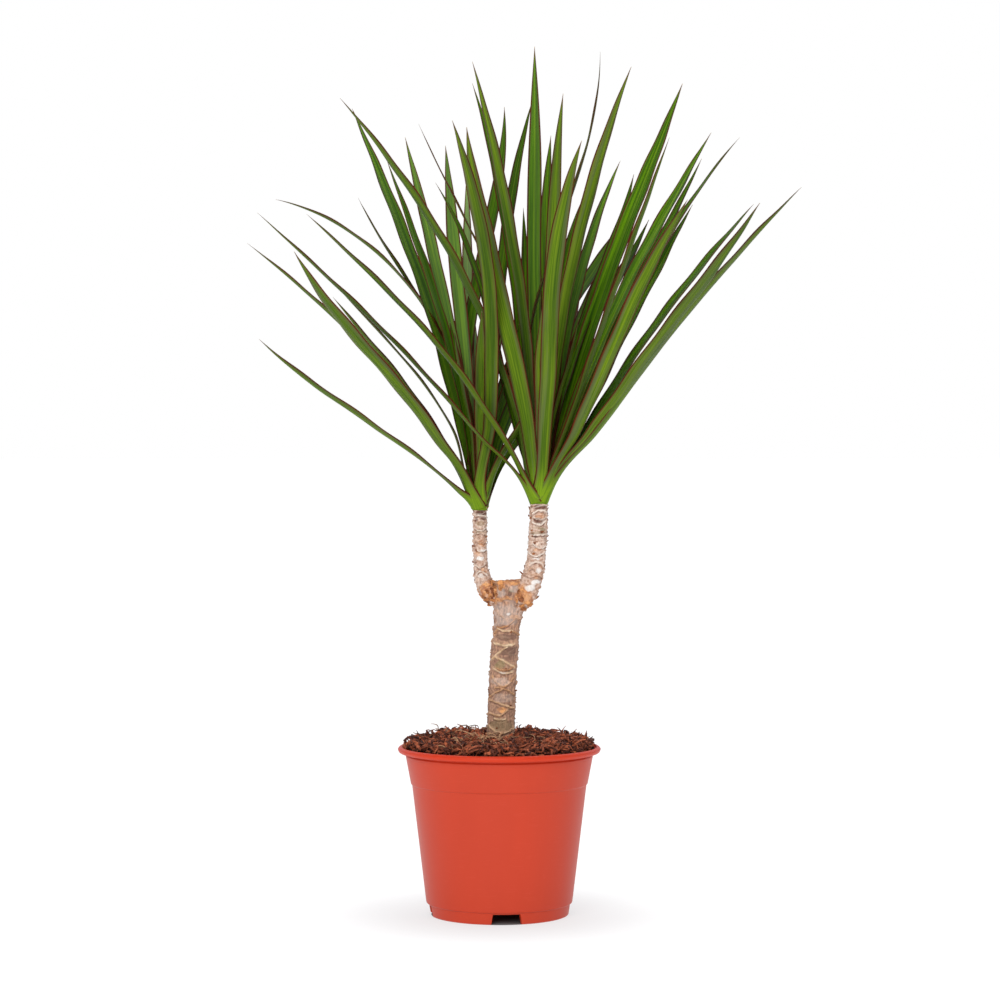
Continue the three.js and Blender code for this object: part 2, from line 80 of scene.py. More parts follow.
# Scar lines that show on the bark's front: across, up of the left end, the middle and the right end;
# half the line's width; and how pale it is, from 0 for orange to 1 for cream.
SCARS = {
    "main": [
        (-2.6, 184.3, 1.0, 187.2, 7.6, 187.5, 0.7, 0.1),
        (-2.0, 181.0, 0.4, 178.0, 2.8, 176.8, 0.4, 0.2),
        (7.6, 178.3, 9.3, 176.6, 12.6, 176.5, 0.7, 0.0),
        (-2.0, 171.2, 4.6, 171.8, 9.3, 175.6, 0.5, 0.0),
        (-1.4, 170.3, 4.0, 168.7, 8.2, 169.1, 0.5, 0.9),
        (7.6, 169.1, 9.9, 167.6, 12.6, 165.5, 0.5, 0.2),
        (-3.2, 166.4, -1.7, 168.5, 0.1, 169.7, 0.5, 0.3),
        (-3.2, 161.8, 2.8, 160.2, 9.3, 161.1, 0.7, 1.0),
        (-4.6, 151.5, 0.4, 156.3, 5.2, 159.3, 0.5, 0.9),
        (-2.6, 153.6, 2.8, 151.0, 9.3, 146.8, 0.65, 0.9),
        (-1.7, 146.8, 2.2, 145.5, 9.6, 148.5, 0.4, 0.1),
        (-3.8, 146.5, 3.4, 143.7, 7.9, 145.0, 0.6, 1.0),
        (-4.6, 142.0, 1.6, 136.2, 9.3, 142.0, 0.6, 0.2),
        (-2.6, 135.4, 2.2, 134.8, 9.0, 130.7, 0.5, 0.3),
        (-6.1, 129.2, -1.7, 132.2, 1.9, 134.3, 0.5, 0.3),
        (-6.1, 128.3, -0.2, 125.7, 8.7, 122.9, 0.6, 0.5),
        (-6.1, 120.6, -0.8, 118.5, 5.5, 122.7, 0.6, 0.5),
        (-3.2, 116.9, 0.4, 116.1, 4.0, 116.6, 0.5, 0.9),
        (-6.7, 112.9, 0.7, 108.2, 8.7, 111.2, 0.7, 0.6),
    ],
    "left": [
        (-14.1, 236.5, -11.6, 236.9, -7.2, 235.8, 0.4, 0.9),
        (-15.1, 229.9, -11.6, 228.0, -7.2, 230.5, 0.35, 0.9),
        (-14.7, 225.5, -11.0, 226.7, -7.5, 224.9, 0.35, 0.6),
        (-14.7, 222.5, -11.0, 220.5, -7.5, 222.0, 0.35, 0.4),
        (-14.4, 216.7, -11.0, 215.4, -7.5, 217.0, 0.4, 0.9),
        (-15.1, 208.5, -11.6, 206.0, -8.2, 208.5, 0.4, 0.8),
        (-13.5, 202.2, -10.4, 203.5, -7.2, 201.0, 0.4, 1.0),
    ],
    "right": [
        (19.8, 238.4, 23.6, 240.2, 28.0, 239.0, 0.4, 1.0),
        (19.8, 236.2, 22.9, 235.0, 27.6, 236.3, 0.35, 0.8),
        (19.8, 233.3, 23.6, 231.9, 27.6, 234.3, 0.4, 1.0),
        (19.8, 225.5, 23.6, 225.8, 28.0, 226.2, 0.5, 1.0),
        (19.5, 221.4, 22.9, 218.1, 27.6, 219.5, 0.4, 1.0),
        (17.3, 215.4, 21.7, 213.2, 26.7, 215.7, 0.45, 1.0),
        (17.9, 207.9, 22.3, 209.8, 26.4, 207.0, 0.45, 0.9),
        (17.0, 204.5, 19.8, 206.0, 22.5, 203.0, 0.4, 0.3),
        (18.0, 200.5, 22.0, 202.0, 26.0, 200.0, 0.4, 0.4),
    ],
}
# Patches there, by kind: across and up of the middle, half the width, half the height, and strength.
PATCHES = {
    "main": {
        "dark": [
            (4.0, 164.9, 7.4, 2.2, 0.75), (5.8, 156.9, 4.8, 2.9, 0.95), (5.2, 152.7, 4.6, 1.6, 0.6),
            (6.4, 191.0, 1.3, 1.3, 1.0), (-3.4, 114.0, 2.6, 1.4, 0.5), (1.5, 175.5, 1.0, 0.6, 0.7),
            (1.2, 196.2, 1.2, 0.7, 0.9), (8.4, 195.8, 1.4, 0.8, 0.9), (9.0, 185.5, 2.0, 1.2, 0.6),
        ],
        "olive": [
            (0.4, 148.9, 3.0, 2.4, 0.9), (1.0, 112.5, 8.0, 4.0, 0.6), (6.8, 192.6, 1.6, 1.2, 0.7),
        ],
        "rust": [
            (1.9, 121.8, 2.7, 1.7, 0.8), (9.0, 177.2, 2.6, 1.2, 0.7), (1.5, 195.0, 2.0, 1.2, 0.8),
            (8.6, 196.3, 2.4, 0.9, 0.9), (4.6, 189.0, 1.5, 0.8, 0.6), (10.5, 188.5, 1.8, 2.6, 0.8),
            (-0.6, 187.0, 2.4, 1.4, 0.8), (-2.5, 191.0, 1.5, 4.0, 0.8),
            (13.5, 191.0, 2.2, 5.0, 0.9),
        ],
        "paper": [
            (5.4, 178.6, 1.7, 1.2, 0.8), (4.0, 178.0, 9.0, 8.0, 0.22), (1.0, 191.5, 2.6, 2.8, 0.2),
            (8.6, 193.5, 2.6, 2.0, 0.22), (1.0, 138.5, 6.0, 2.6, 0.2), (2.0, 129.0, 6.0, 3.0, 0.12),
            (2.0, 143.9, 2.4, 0.5, 0.7),
        ],
    },
    "left": {
        "dark": [
            (-13.9, 226.4, 1.0, 0.5, 0.8), (-14.3, 209.5, 0.8, 1.6, 0.6),
        ],
        "olive": [
            (-11.0, 232.2, 3.4, 1.6, 0.5), (-11.2, 227.4, 3.0, 1.4, 0.5),
        ],
        "rust": [
            (-10.7, 220.5, 2.2, 2.4, 0.45), (-6.8, 192.6, 5.0, 5.4, 1.0),
            (-9.2, 204.0, 2.4, 1.6, 0.45), (-13.0, 214.4, 1.6, 1.4, 0.4),
        ],
        "paper": [
            (-11.3, 211.5, 2.0, 1.2, 1.0), (-9.4, 216.0, 1.9, 0.8, 0.9),
            (-11.0, 201.0, 2.0, 1.4, 0.45),
        ],
        "scar": [
            (-11.3, 238.6, 3.9, 1.9, 1.0), (-9.1, 235.4, 2.2, 0.9, 1.0),
            (-13.6, 234.5, 1.0, 1.1, 1.0), (-7.6, 229.8, 0.9, 0.5, 1.0),
        ],
    },
    "right": {
        "dark": [
            (20.0, 226.4, 1.1, 0.6, 0.9), (25.5, 224.6, 1.4, 0.5, 0.8),
            (20.6, 231.6, 1.4, 0.5, 0.7),
        ],
        "olive": [
            (25.6, 228.7, 1.8, 1.0, 1.0), (22.5, 230.0, 3.2, 1.0, 0.4),
            (23.0, 227.0, 4.0, 0.9, 0.6),
        ],
        "rust": [
            (24.5, 237.4, 3.0, 1.4, 0.6), (22.5, 201.3, 3.0, 1.8, 0.35),
            (23.2, 216.6, 3.2, 1.5, 0.4), (25.4, 207.5, 1.6, 2.0, 0.35),
            (14.8, 190.5, 4.2, 5.4, 1.0), (17.3, 185.9, 3.4, 2.6, 1.0),
        ],
        "paper": [
            (21.2, 198.0, 2.8, 1.4, 1.0), (18.3, 194.3, 3.2, 2.2, 0.9),
            (20.2, 196.3, 1.4, 1.6, 0.7), (23.6, 204.3, 1.9, 1.5, 0.8),
            (21.8, 211.6, 2.2, 0.6, 0.8),
        ],
        "scar": [
            (23.4, 242.0, 3.9, 1.6, 1.0), (22.9, 233.9, 3.2, 1.7, 1.0),
            (20.5, 224.6, 2.2, 0.4, 1.0),
        ],
    },
}
# Rings that close the cane's old cut: share of its last radius, and rise over its last ring.
CUT_FACE = [(0.97, 0.35), (0.9, 0.6), (0.78, 0.5), (0.6, 0.2), (0.4, 0.1), (0.2, 0.3), (0.04, 0.4)]
CUT_HEIGHT = (195.5, 197.5)  # where the cut's rusty end begins and is full
CUT_FACE_HEIGHT = (196.5, 198.4)  # where its ragged face begins and is full
FORK = {"across": 5.8, "low": 181.0, "high": 199.0}  # its shoulders are rusty between these heights
SPIKE = {"at": (14.6, -3.2, 201.6), "to": (-0.72, -0.1, 0.68), "length": 3.6, "width": 1.0, "tone": 0.1}

HEADS = {
    "left": {"across": -11.6, "depth": 6, "foot": 240.2, "radius": 5.1},
    "right": {"across": 23.7, "depth": -5, "foot": 243.3, "radius": 5.5},
}
VIEW = {"distance": 1700.0, "height": 278.0}  # where the front view was measured from

# The leaves that show in the front view, one to a row. Its numbers are: across and up of three points
# just over the leaf's middle, at about a third, at two thirds and at the tip; how far the tip lies behind
# the cane; how late the blade leans that way; its width; its twist in degrees; and how light it is, partly
# its own tone and partly painted light and sheen.
LEAVES = {
    "left": [
        (-46.6, 271.3, -100, 310, -143, 342, -35, 1.0, 10, 10, 0.0),
        (-43.8, 295.5, -90.3, 351.7, -122, 394, -105, 1.0, 11.5, 4, 0.1),
        (-39.6, 292.8, -73.5, 338.3, -99, 367, -60, 1.0, 9, -10, -0.2),
        (-55.5, 310.6, -123.1, 379, -150, 399, -60, 1.0, 10, -8, -0.1),
        (-29.5, 293, -65, 341, -99, 376, -15, 1.0, 6, -6, -0.2),
        (-43.5, 363, -100, 413.9, -133, 425, 55, 0.9, 9.5, 18, -0.3),
        (-39, 355, -67, 398, -84, 426, 50, 0.9, 8, 34, -0.4),
        (-31.5, 332.5, -55.5, 406, -87.5, 479, 70, 1.5, 13, 0, 0.4),
        (-27, 334.5, -47.7, 400.7, -67, 448.7, 35, 1.5, 12, 0, 0.3),
        (-31.5, 361.5, -47, 427.6, -56, 462, 90, 1.3, 8.5, 0, 0.5),
        (-23, 359, -28, 413, -32, 457, 110, 1.4, 9, 0, 0.5),
        (-18.3, 347, -18.9, 404, -19.7, 438, 150, 1.4, 7, 0, 0.7),
        (-4, 341, -12, 416, -28, 472, -150, 1.5, 9, -10, 0.0),
        (1, 386, 10.2, 445, 19.4, 483, 90, 1.3, 8, 0, -0.6),
        (-6, 410, 1, 447, 3, 480, 150, 1.4, 8, 0, -0.3),
        (15, 321, 55, 383.4, 81, 425, 150, 1.2, 11, 0, -0.6),
        (20.3, 302.7, 75, 388, 89, 413, 110, 1.0, 12, 0, -0.5),
        (3, 274, 11, 289.5, 18, 306, -14, 1.0, 11, 0, 0.1),
    ],
    "right": [
        (-49.2, 328.8, -111.4, 389, -144, 417.2, -50, 1.0, 8.5, 0, 0.0),
        (-15.4, 313.4, -78.8, 385.1, -114.6, 416.3, -70, 1.0, 10.5, -8, 0.1),
        (-10, 359, -46, 424, -94.7, 485.3, -36, 1.2, 11, 9, -0.1),
        (-9.5, 395, -36.7, 447.5, -48, 470, 25, 1.2, 7, 12, 0.1),
        (-3, 347, -22, 406, -38, 435, 35, 1.2, 7, 0, -0.2),
        (7.8, 338, -9, 410, -19.4, 468, -98, 1.4, 11.5, 6, 0.1),
        (12.2, 353, -0.6, 437.5, -16, 494, 60, 1.2, 7, 0, 0.1),
        (15, 359, 2, 437, -16, 507, -40, 1.4, 9, 0, 0.3),
        (21, 347, 21, 437, 21, 516, 45, 1.2, 9, 0, 0.4),
        (17, 335, 15.4, 385, 14.3, 420, 80, 1.3, 6, 0, -0.5),
        (27.6, 353, 28, 419, 30.7, 463, 120, 1.3, 9, 0, 0.1),
        (30, 359, 33, 431, 38, 488, -60, 1.5, 8, -6, 0.3),
        (28.9, 333, 35.6, 409, 49, 460, -130, 1.3, 10.5, 5, 0.2),
        (37, 416, 55, 475, 60, 513, -8, 1.2, 9, 12, -0.3),
        (37.5, 360.4, 61.5, 458.2, 78.5, 504, -60, 1.6, 9, -10, 0.1),
        (35, 359, 45, 412, 53.4, 432, 60, 1.2, 8, 0, -0.4),
        (43, 362, 56, 409, 72, 448, 100, 1.3, 8, 0, 0.4),
        (52, 359, 71, 410, 80, 440, 100, 1.2, 9, 0, -0.4),
        (58, 365, 84, 434, 109, 494, 125, 1.2, 12, 0, 0.3),
        (65.2, 365.5, 87.3, 426, 101.2, 462, -66, 1.3, 8, 8, 0.2),
        (64, 354.2, 97.3, 418.5, 126, 464.8, 55, 1.2, 14, 0, 0.2),
        (69.5, 353, 104, 418.4, 120.4, 449.3, 95, 1.2, 8, 0, -0.2),
        (68, 341, 95, 397, 112, 425, -95, 1.1, 10, -12, 0.2),
        (75, 359, 114.2, 426.6, 143, 462, -20, 1.1, 10, 15, 0.0),
        (63, 327, 94, 387, 115, 422, 70, 1.1, 12, 0, 0.1),
        (69.6, 320.4, 117.3, 385.4, 151.3, 422.2, 55, 1.1, 15, 0, -0.1),
        (76, 319.4, 121.4, 379, 155, 423, -65, 1.1, 14, -10, 0.1),
        (76.7, 316.8, 134.7, 388.3, 179.8, 432.4, -50, 1.1, 15, 0, 0.1),
    ],
}
# Leaves on the far side stand by a rule: how many, evenly round a sector in degrees from +X.
REAR = {"left": (4, 62, 98), "right": (4, 66, 104)}
REAR_LEAF = {"length": 225, "lean": 46, "spread": 14, "width": 11}
# Young leaves stand by the same rule all round the middle of a head, short and nearly upright.
YOUNG = (5, 20, 380)
YOUNG_LEAF = {"length": 105, "lean": 13, "spread": 16, "width": 8}
GOLDEN_SHARE = 0.618034
# How leaves leave the stem. One that leans `full_lean` degrees starts at the foot of the head, on the
# stem's outside; an upright one starts `climb` higher and `step_in` further in. The lowest leaves are
# those past `low_leans`, from not at all to fully. A leaf's marks are worked out from `measured_rise` or
# `ruled_rise` over the head's foot.
ROOT = {"full_lean": 47, "low_leans": (44, 54), "climb": 8.0, "step_in": 2.4, "low_climb": 1.2,
        "measured_rise": 15, "ruled_rise": 12}
# A leaf heads out of its sheath at `share` of its own lean, `lean` degrees at most, and is free of it
# after `length`. The lowest leaves lean `low_lean` more there and are free `shorter` sooner.
SHEATH = {"share": 0.6, "lean": 20, "low_lean": 13, "length": 50, "shorter": 38}
# The base reaches `half_turn` radians round the stem to each side. It lets go in width and in curl over
# these runs, and the blade sinks to its place under the measured line over `settle`.
GRIP = {"half_turn": 1.7, "width": 12, "curl": 15, "power": 1.4, "settle": 80}

# Tones that a user wouldn't change. The main colours are in the groups of settings.
BARK_TONES = {
    "dark panel": (0.22, 0.115, 0.072), "dark branch": (0.36, 0.18, 0.11),
    "shade": (0.130, 0.058, 0.040), "olive": (0.225, 0.175, 0.070),
    # The shade tone serves the bark's own dark panels and patches, and painted shadow under its drawn scar
    # lines.
    "rust": (0.84, 0.40, 0.14), "dark rust": (0.42, 0.145, 0.055),
    "scar": (0.21, 0.088, 0.052), "dark scar": (0.085, 0.033, 0.020),
    "orange line": (0.66, 0.30, 0.11), "dark line": (0.34, 0.13, 0.045),
    "tan line": (0.66, 0.40, 0.21), "branch line": (0.88, 0.77, 0.67),
    "paper": (0.84, 0.79, 0.74), "scale": (0.74, 0.34, 0.12), "dark scale": (0.22, 0.070, 0.028),
}
# The hair and zone tones multiply the green.
LEAF_TONES = {
    "light hair": (1.12, 1.1, 1.1), "dark hair": (0.84, 0.86, 0.88),
    "light underside": (0.124, 0.194, 0.010), "dark underside": (0.056, 0.110, 0.006),
    "lighter zone": (1.30, 1.25, 1.0), "darker zone": (0.62, 0.70, 1.0),
    # Painted sheen: the first grey-green tone on the next line greys the blade in long zones, and the pale
    # leaf tone gives the lightest leaves a whitish sheen.
    "painted_sheen": (0.095, 0.120, 0.046), "pale leaf": (0.24, 0.34, 0.13),
    "dark base": (0.095, 0.180, 0.010), "blush": (0.090, 0.048, 0.036),
    "dark margin": (0.035, 0.008, 0.004), "dry": (0.12, 0.055, 0.025),
    "bleached": (0.40, 0.30, 0.20),
}
DARK_FIBRE = (0.13, 0.045, 0.02)
# The bed's near-black tone is painted shade for the gaps between the chips.
GAP_SHADE_BED = (0.006, 0.003, 0.002)

SEEDS = {"bark": 11, "mix": 23, "chips": 31, "fibres": 47, "scales": 59, "leaves": 71}


# ------------------------------------------------------------------ numbers

LATTICE_ROWS = 128


def unit(vectors):
    """The vectors, each divided by its own length."""
    return vectors / np.linalg.norm(vectors, axis=-1, keepdims=True)


def smooth_step(value, low=0.0, high=1.0):
    """0 under `low`, 1 over `high`, and an S-curve between them."""
    share = np.clip((value - low) / (high - low), 0, 1)
    return share * share * (3 - 2 * share)


def soft_noise(turn, along, seed, cells):
    """Soft random values from 0 to 1: a seeded lattice with `cells` columns in one turn and a row for
    each unit along, blended between its four nearest values by S-curves. It closes on itself."""
    lattice = np.random.default_rng(seed).random((LATTICE_ROWS, cells))
    column = (turn % 1) * cells
    left = np.floor(column).astype(int)
    below = np.floor(along).astype(int)
    x = smooth_step(column - left)
    y = smooth_step(along - below)
    rows = below % LATTICE_ROWS, (below + 1) % LATTICE_ROWS
    columns = left % cells, (left + 1) % cells
    lower = lattice[rows[0], columns[0]] * (1 - x) + lattice[rows[0], columns[1]] * x
    upper = lattice[rows[1], columns[0]] * (1 - x) + lattice[rows[1], columns[1]] * x
    return lower * (1 - y) + upper * y


def smooth_stations(stations, rows):
    """Rows evenly along the stations: on each span a cubic that leaves and meets the stations with
    the slope between their neighbours."""
    table = np.array(stations, float)
    gaps = np.linalg.norm(np.diff(table[:, :3], axis=0), axis=1)
    knots = np.concatenate([[0], np.cumsum(gaps)])
    slopes = np.gradient(table, knots, axis=0)
    where = np.linspace(0, knots[-1], rows)
    span = np.clip(np.searchsorted(knots, where, side="right") - 1, 0, len(gaps) - 1)
    gap = gaps[span][:, None]
    t = (where - knots[span])[:, None] / gap
    return ((2 * t**3 - 3 * t**2 + 1) * table[span] + (t**3 - 2 * t**2 + t) * gap * slopes[span]
            + (3 * t**2 - 2 * t**3) * table[span + 1] + (t**3 - t**2) * gap * slopes[span + 1])


def rounded(corners, steps=6, longest=4.0):
    """An outline through [radius, height, setback] corners. Each corner becomes a parabola that
    starts and ends `setback` from it, and long straight stretches are divided evenly."""
    table = np.array(corners, float)
    spots = table[:, :2]
    outline = [spots[:1]]
    for i in range(1, len(spots) - 1):
        setback = table[i, 2]
        before = spots[i] + unit(spots[i - 1] - spots[i]) * setback
        after = spots[i] + unit(spots[i + 1] - spots[i]) * setback
        t = np.linspace(0, 1, steps if setback else 1)[:, None]
        outline.append((1 - t)**2 * before + 2 * t * (1 - t) * spots[i] + t**2 * after)
    outline = np.concatenate([*outline, spots[-1:]])
    stretches = []
    for start, end in zip(outline[:-1], outline[1:]):
        parts = max(1, math.ceil(np.linalg.norm(end - start) / longest))
        stretches.append(start + (end - start) * np.arange(parts)[:, None] / parts)
    return np.concatenate([*stretches, outline[-1:]])


# ------------------------------------------------------------------ meshes

def grid_faces(rows, sides):
    """Quads between `rows` rings of `sides` points. They face out when the rings run anticlockwise
    as seen from the last ring."""
    row, side = np.meshgrid(np.arange(rows - 1), np.arange(sides), indexing="ij")
    a = row * sides + side
    b = row * sides + (side + 1) % sides
    return np.stack([a, b, b + sides, a + sides], -1).reshape(-1, 4)


def fan_closed(rings):
    """A closed body through rings (rows, sides, 3): the grid between them, and a fan of triangles to
    the middle of each end ring. Returns its points and its faces."""
    rows, sides, _ = rings.shape
    points = np.concatenate([rings.reshape(-1, 3), rings[:1].mean(1), rings[-1:].mean(1)])
    side = np.arange(sides)
    after = (side + 1) % sides
    top = (rows - 1) * sides
    low_fan = np.stack([after, side, np.full(sides, rows * sides)], -1)
    high_fan = np.stack([top + side, top + after, np.full(sides, rows * sides + 1)], -1)
    return points, [grid_faces(rows, sides), low_fan, high_fan]


def strip_closed(rows, sides):
    """Faces of a flat body whose rings run out along one face and back along the other: the grid, and
    a strip of quads across each end."""
    k = np.arange(sides // 2 - 1)
    cap = np.stack([k, k + 1, sides - 2 - k, sides - 1 - k], -1)
    return np.concatenate([grid_faces(rows, sides), cap[:, ::-1], cap + (rows - 1) * sides])


def repeated(faces, count, step):
    """The same faces for `count` bodies whose points follow each other, `step` to a body."""
    return (faces[None] + np.arange(count)[:, None, None] * step).reshape(-1, faces.shape[-1])


def joined(bodies):
    """Several (points, faces, values) bodies as one: points and values end to end, faces moved on."""
    points = np.concatenate([body[0] for body in bodies])
    starts = np.cumsum([0] + [len(body[0]) for body in bodies])
    faces = [group + start for body, start in zip(bodies, starts) for group in body[1]]
    values = {key: np.concatenate([body[2][key] for body in bodies]) for key in bodies[0][2]}
    return points, faces, values


def new_mesh(name, points, faces, values=None, uv=None):
    """A mesh from points in mm round the pot's axis, groups of faces, a value for each point under
    each name in `values`, and the points' own UV places."""
    mesh = bpy.data.meshes.new(name)
    corners = np.concatenate([group.ravel() for group in faces])
    sizes = np.concatenate([np.full(len(group), group.shape[1]) for group in faces])
    mesh.vertices.add(len(points))
    mesh.vertices.foreach_set("co", (points * MM + POT_AXIS).astype(np.float32).ravel())
    mesh.loops.add(len(corners))
    mesh.loops.foreach_set("vertex_index", corners.astype(np.int32))
    mesh.polygons.add(len(sizes))
    mesh.polygons.foreach_set("loop_start", (np.cumsum(sizes) - sizes).astype(np.int32))
    mesh.update(calc_edges=True)
    if mesh.validate():
        raise RuntimeError(f"{name} has a face that closes on itself")
    if uv is not None:
        layer = mesh.uv_layers.new(name="UVMap")
        layer.data.foreach_set("uv", uv[corners].astype(np.float32).ravel())
    for key, numbers in (values or {}).items():
        attribute = mesh.attributes.new(key, "FLOAT", "POINT")
        attribute.data.foreach_set("value", numbers.astype(np.float32).ravel())
    return mesh


def new_piece(mesh, material, stands_for=(), crease=40):
    """The mesh as a piece of the object: smooth but for edges sharper than `crease` degrees, riding
    on the body, with the slot that its finish comes from and the nodes that it stands for."""
    mesh.shade_smooth()
    mesh.set_sharp_from_angle(angle=math.radians(crease))
    mesh.materials.append(material)
    piece = bpy.data.objects.new(mesh.name, mesh)
    bpy.context.scene.collection.objects.link(piece)
    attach(piece, BODY)
    if stands_for:
        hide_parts(*stands_for)
    return piece


def strips(origin, heading, normal, length, width, thickness, lift, arch, sway, twist, profile):
    """Many small strips at once. Each runs from its origin along its heading; its end lifts along its
    normal by a parabola, its middle arches by another, it sways sideways by a sine wave, and its flat
    section turns on the way. `profile` holds the share of its width at each station. Returns the
    points (strips, stations, 4, 3)."""
    share = np.linspace(0, 1, len(profile))[None, :, None]
    side = unit(np.cross(normal, heading))
    normal = np.cross(heading, side)
    column = (slice(None), None, None)
    path = (origin[:, None] + heading[:, None] * length[column] * share
            + normal[:, None] * (lift[column] * share**2 + arch[column] * 4 * share * (1 - share))
            + side[:, None] * sway[column] * np.sin(2 * np.pi * share + twist[column]))
    turn = twist[column] * share
    across = side[:, None] * np.cos(turn) + normal[:, None] * np.sin(turn)
    out = normal[:, None] * np.cos(turn) - side[:, None] * np.sin(turn)
    half = np.array(profile)[None, :, None] / 2
    wide = across * width[column] * half
    thick = out * thickness[column] * (0.4 + 0.6 * half * 2) / 2
    return np.stack([path - wide - thick, path + wide - thick, path + wide + thick,
                     path - wide + thick], 2)


def strip_mesh(name, rings, tone):
    """One mesh of many closed strips, each with its own tone."""
    count, stations, sides, _ = rings.shape
    faces = repeated(strip_closed(stations, sides), count, stations * sides)
    values = {"tone": np.repeat(tone, stations * sides)}
    return new_mesh(name, rings.reshape(-1, 3), [faces], values)


# ------------------------------------------------------------------ materials

def add(tree, kind, inputs=(), **settings):
    """A new node of that kind. `inputs` sets its sockets, by name or number, or links sockets to
    them."""
    made = tree.nodes.new(kind)
    for key, value in settings.items():
        setattr(made, key, value)
    for key, value in dict(inputs).items():
        if isinstance(value, bpy.types.NodeSocket):
            tree.links.new(value, made.inputs[key])
        else:
            made.inputs[key].default_value = value
    return made


def colour(value):
    """Red, green and blue as an opaque colour."""
    return (*value, 1.0)


def mixed(tree, share, first, second, blend="MIX"):
    """Two colours mixed: `first` at 0, `second` at 1."""
    made = add(tree, "ShaderNodeMix", {0: share, 6: first, 7: second}, data_type="RGBA",
               blend_type=blend)
    return made.outputs[2]


def ramped(tree, value, low, high, low_to=0.0, high_to=1.0):
    """A value carried from one range to another, held at its ends, by an S-curve."""
    made = add(tree, "ShaderNodeMapRange", {0: value, 1: low, 2: high, 3: low_to, 4: high_to},
               interpolation_type="SMOOTHSTEP")
    return made.outputs[0]


def calculated(tree, operation, *values):
    """A Math node's result from numbers or sockets."""
    made = add(tree, "ShaderNodeMath", dict(enumerate(values)), operation=operation)
    return made.outputs[0]


def attribute(tree, name):
    """A value that the mesh holds at each point."""
    return add(tree, "ShaderNodeAttribute", attribute_name=name).outputs["Fac"]


def stretched(tree, vector, scale):
    """The vector with each part multiplied by its own scale."""
    return add(tree, "ShaderNodeMapping", {"Vector": vector, "Scale": scale}).outputs[0]


def group_tree(name, inputs, outputs):
    """An empty shader node group with those sockets, and its ends."""
    tree = bpy.data.node_groups.new(name, "ShaderNodeTree")
    kinds = {"Vector": "NodeSocketVector", "Light": "NodeSocketColor", "Dark": "NodeSocketColor",
             "Colour": "NodeSocketColor"}
    for label in inputs:
        tree.interface.new_socket(label, in_out="INPUT",
                                  socket_type=kinds.get(label, "NodeSocketFloat"))
    for label in outputs:
        tree.interface.new_socket(label, in_out="OUTPUT",
                                  socket_type=kinds.get(label, "NodeSocketFloat"))
    return tree, tree.nodes.new("NodeGroupInput").outputs, tree.nodes.new("NodeGroupOutput").inputs


def uneven_tone_group():
    """Two tones mixed by soft noise. Contrast 0 is an even half mix, 1 the whole range."""
    name = "Uneven tone"
    if name in bpy.data.node_groups:
        return bpy.data.node_groups[name]
    tree, given, ends = group_tree(name, ("Vector", "Scale", "Light", "Dark", "Contrast"),
                                   ("Colour", "Mask"))
    noise = add(tree, "ShaderNodeTexNoise", {"Vector": given["Vector"], "Scale": given["Scale"],
                                             "Detail": 4.0, "Roughness": 0.6})
    offset = calculated(tree, "SUBTRACT", noise.outputs[0], 0.5)
    spread = calculated(tree, "MULTIPLY", offset, given["Contrast"])
    share = calculated(tree, "MULTIPLY_ADD", spread, 3.0, 0.5)
    share = ramped(tree, share, 0.0, 1.0)
    tree.links.new(mixed(tree, share, given["Dark"], given["Light"]), ends["Colour"])
    tree.links.new(share, ends["Mask"])
    return tree


def fine_grain_group():
    """Height of a fine grain: small noise with a coarser one under it."""
    name = "Fine grain"
    if name in bpy.data.node_groups:
        return bpy.data.node_groups[name]
    tree, given, ends = group_tree(name, ("Vector", "Scale", "Coarseness"), ("Height",))
    fine = add(tree, "ShaderNodeTexNoise", {"Vector": given["Vector"], "Scale": given["Scale"],
                                            "Detail": 3.0})
    quarter = calculated(tree, "MULTIPLY", given["Scale"], 0.22)
    coarse = add(tree, "ShaderNodeTexNoise", {"Vector": given["Vector"], "Scale": quarter,
                                              "Detail": 2.0})
    raised = calculated(tree, "MULTIPLY_ADD", coarse.outputs[0], given["Coarseness"],
                        fine.outputs[0])
    tree.links.new(raised, ends["Height"])
    return tree


def new_material(name):
    """A material with a bare Principled shader. Returns it, its tree and the shader's sockets."""
    material = bpy.data.materials.new(name)
    material.use_nodes = True
    tree = material.node_tree
    tree.nodes.clear()
    shader = tree.nodes.new("ShaderNodeBsdfPrincipled")
    end = tree.nodes.new("ShaderNodeOutputMaterial")
    tree.links.new(shader.outputs[0], end.inputs[0])
    return material, tree, shader.inputs


def object_place(tree):
    """The place on the piece, in metres in the frame."""
    return tree.nodes.new("ShaderNodeTexCoord").outputs["Object"]


def uneven_tone(tree, vector, scale, light, dark, contrast):
    """The Uneven tone group with those values: its Colour and its Mask."""
    values = {"Vector": vector, "Scale": scale, "Light": light, "Dark": dark, "Contrast": contrast}
    return add(tree, "ShaderNodeGroup", values, node_tree=uneven_tone_group()).outputs


def rough_surface(tree, shader, vector, scale, coarseness, strength, distance, own_height=None):
    """A Bump node on the shader's normal, fed by the fine grain and by a height of its own."""
    values = {"Vector": vector, "Scale": scale, "Coarseness": coarseness}
    height = add(tree, "ShaderNodeGroup", values, node_tree=fine_grain_group()).outputs["Height"]
    if own_height is not None:
        height = calculated(tree, "ADD", height, own_height)
    bump = add(tree, "ShaderNodeBump", {"Strength": strength, "Distance": distance,
                                        "Height": height})
    tree.links.new(bump.outputs[0], shader["Normal"])


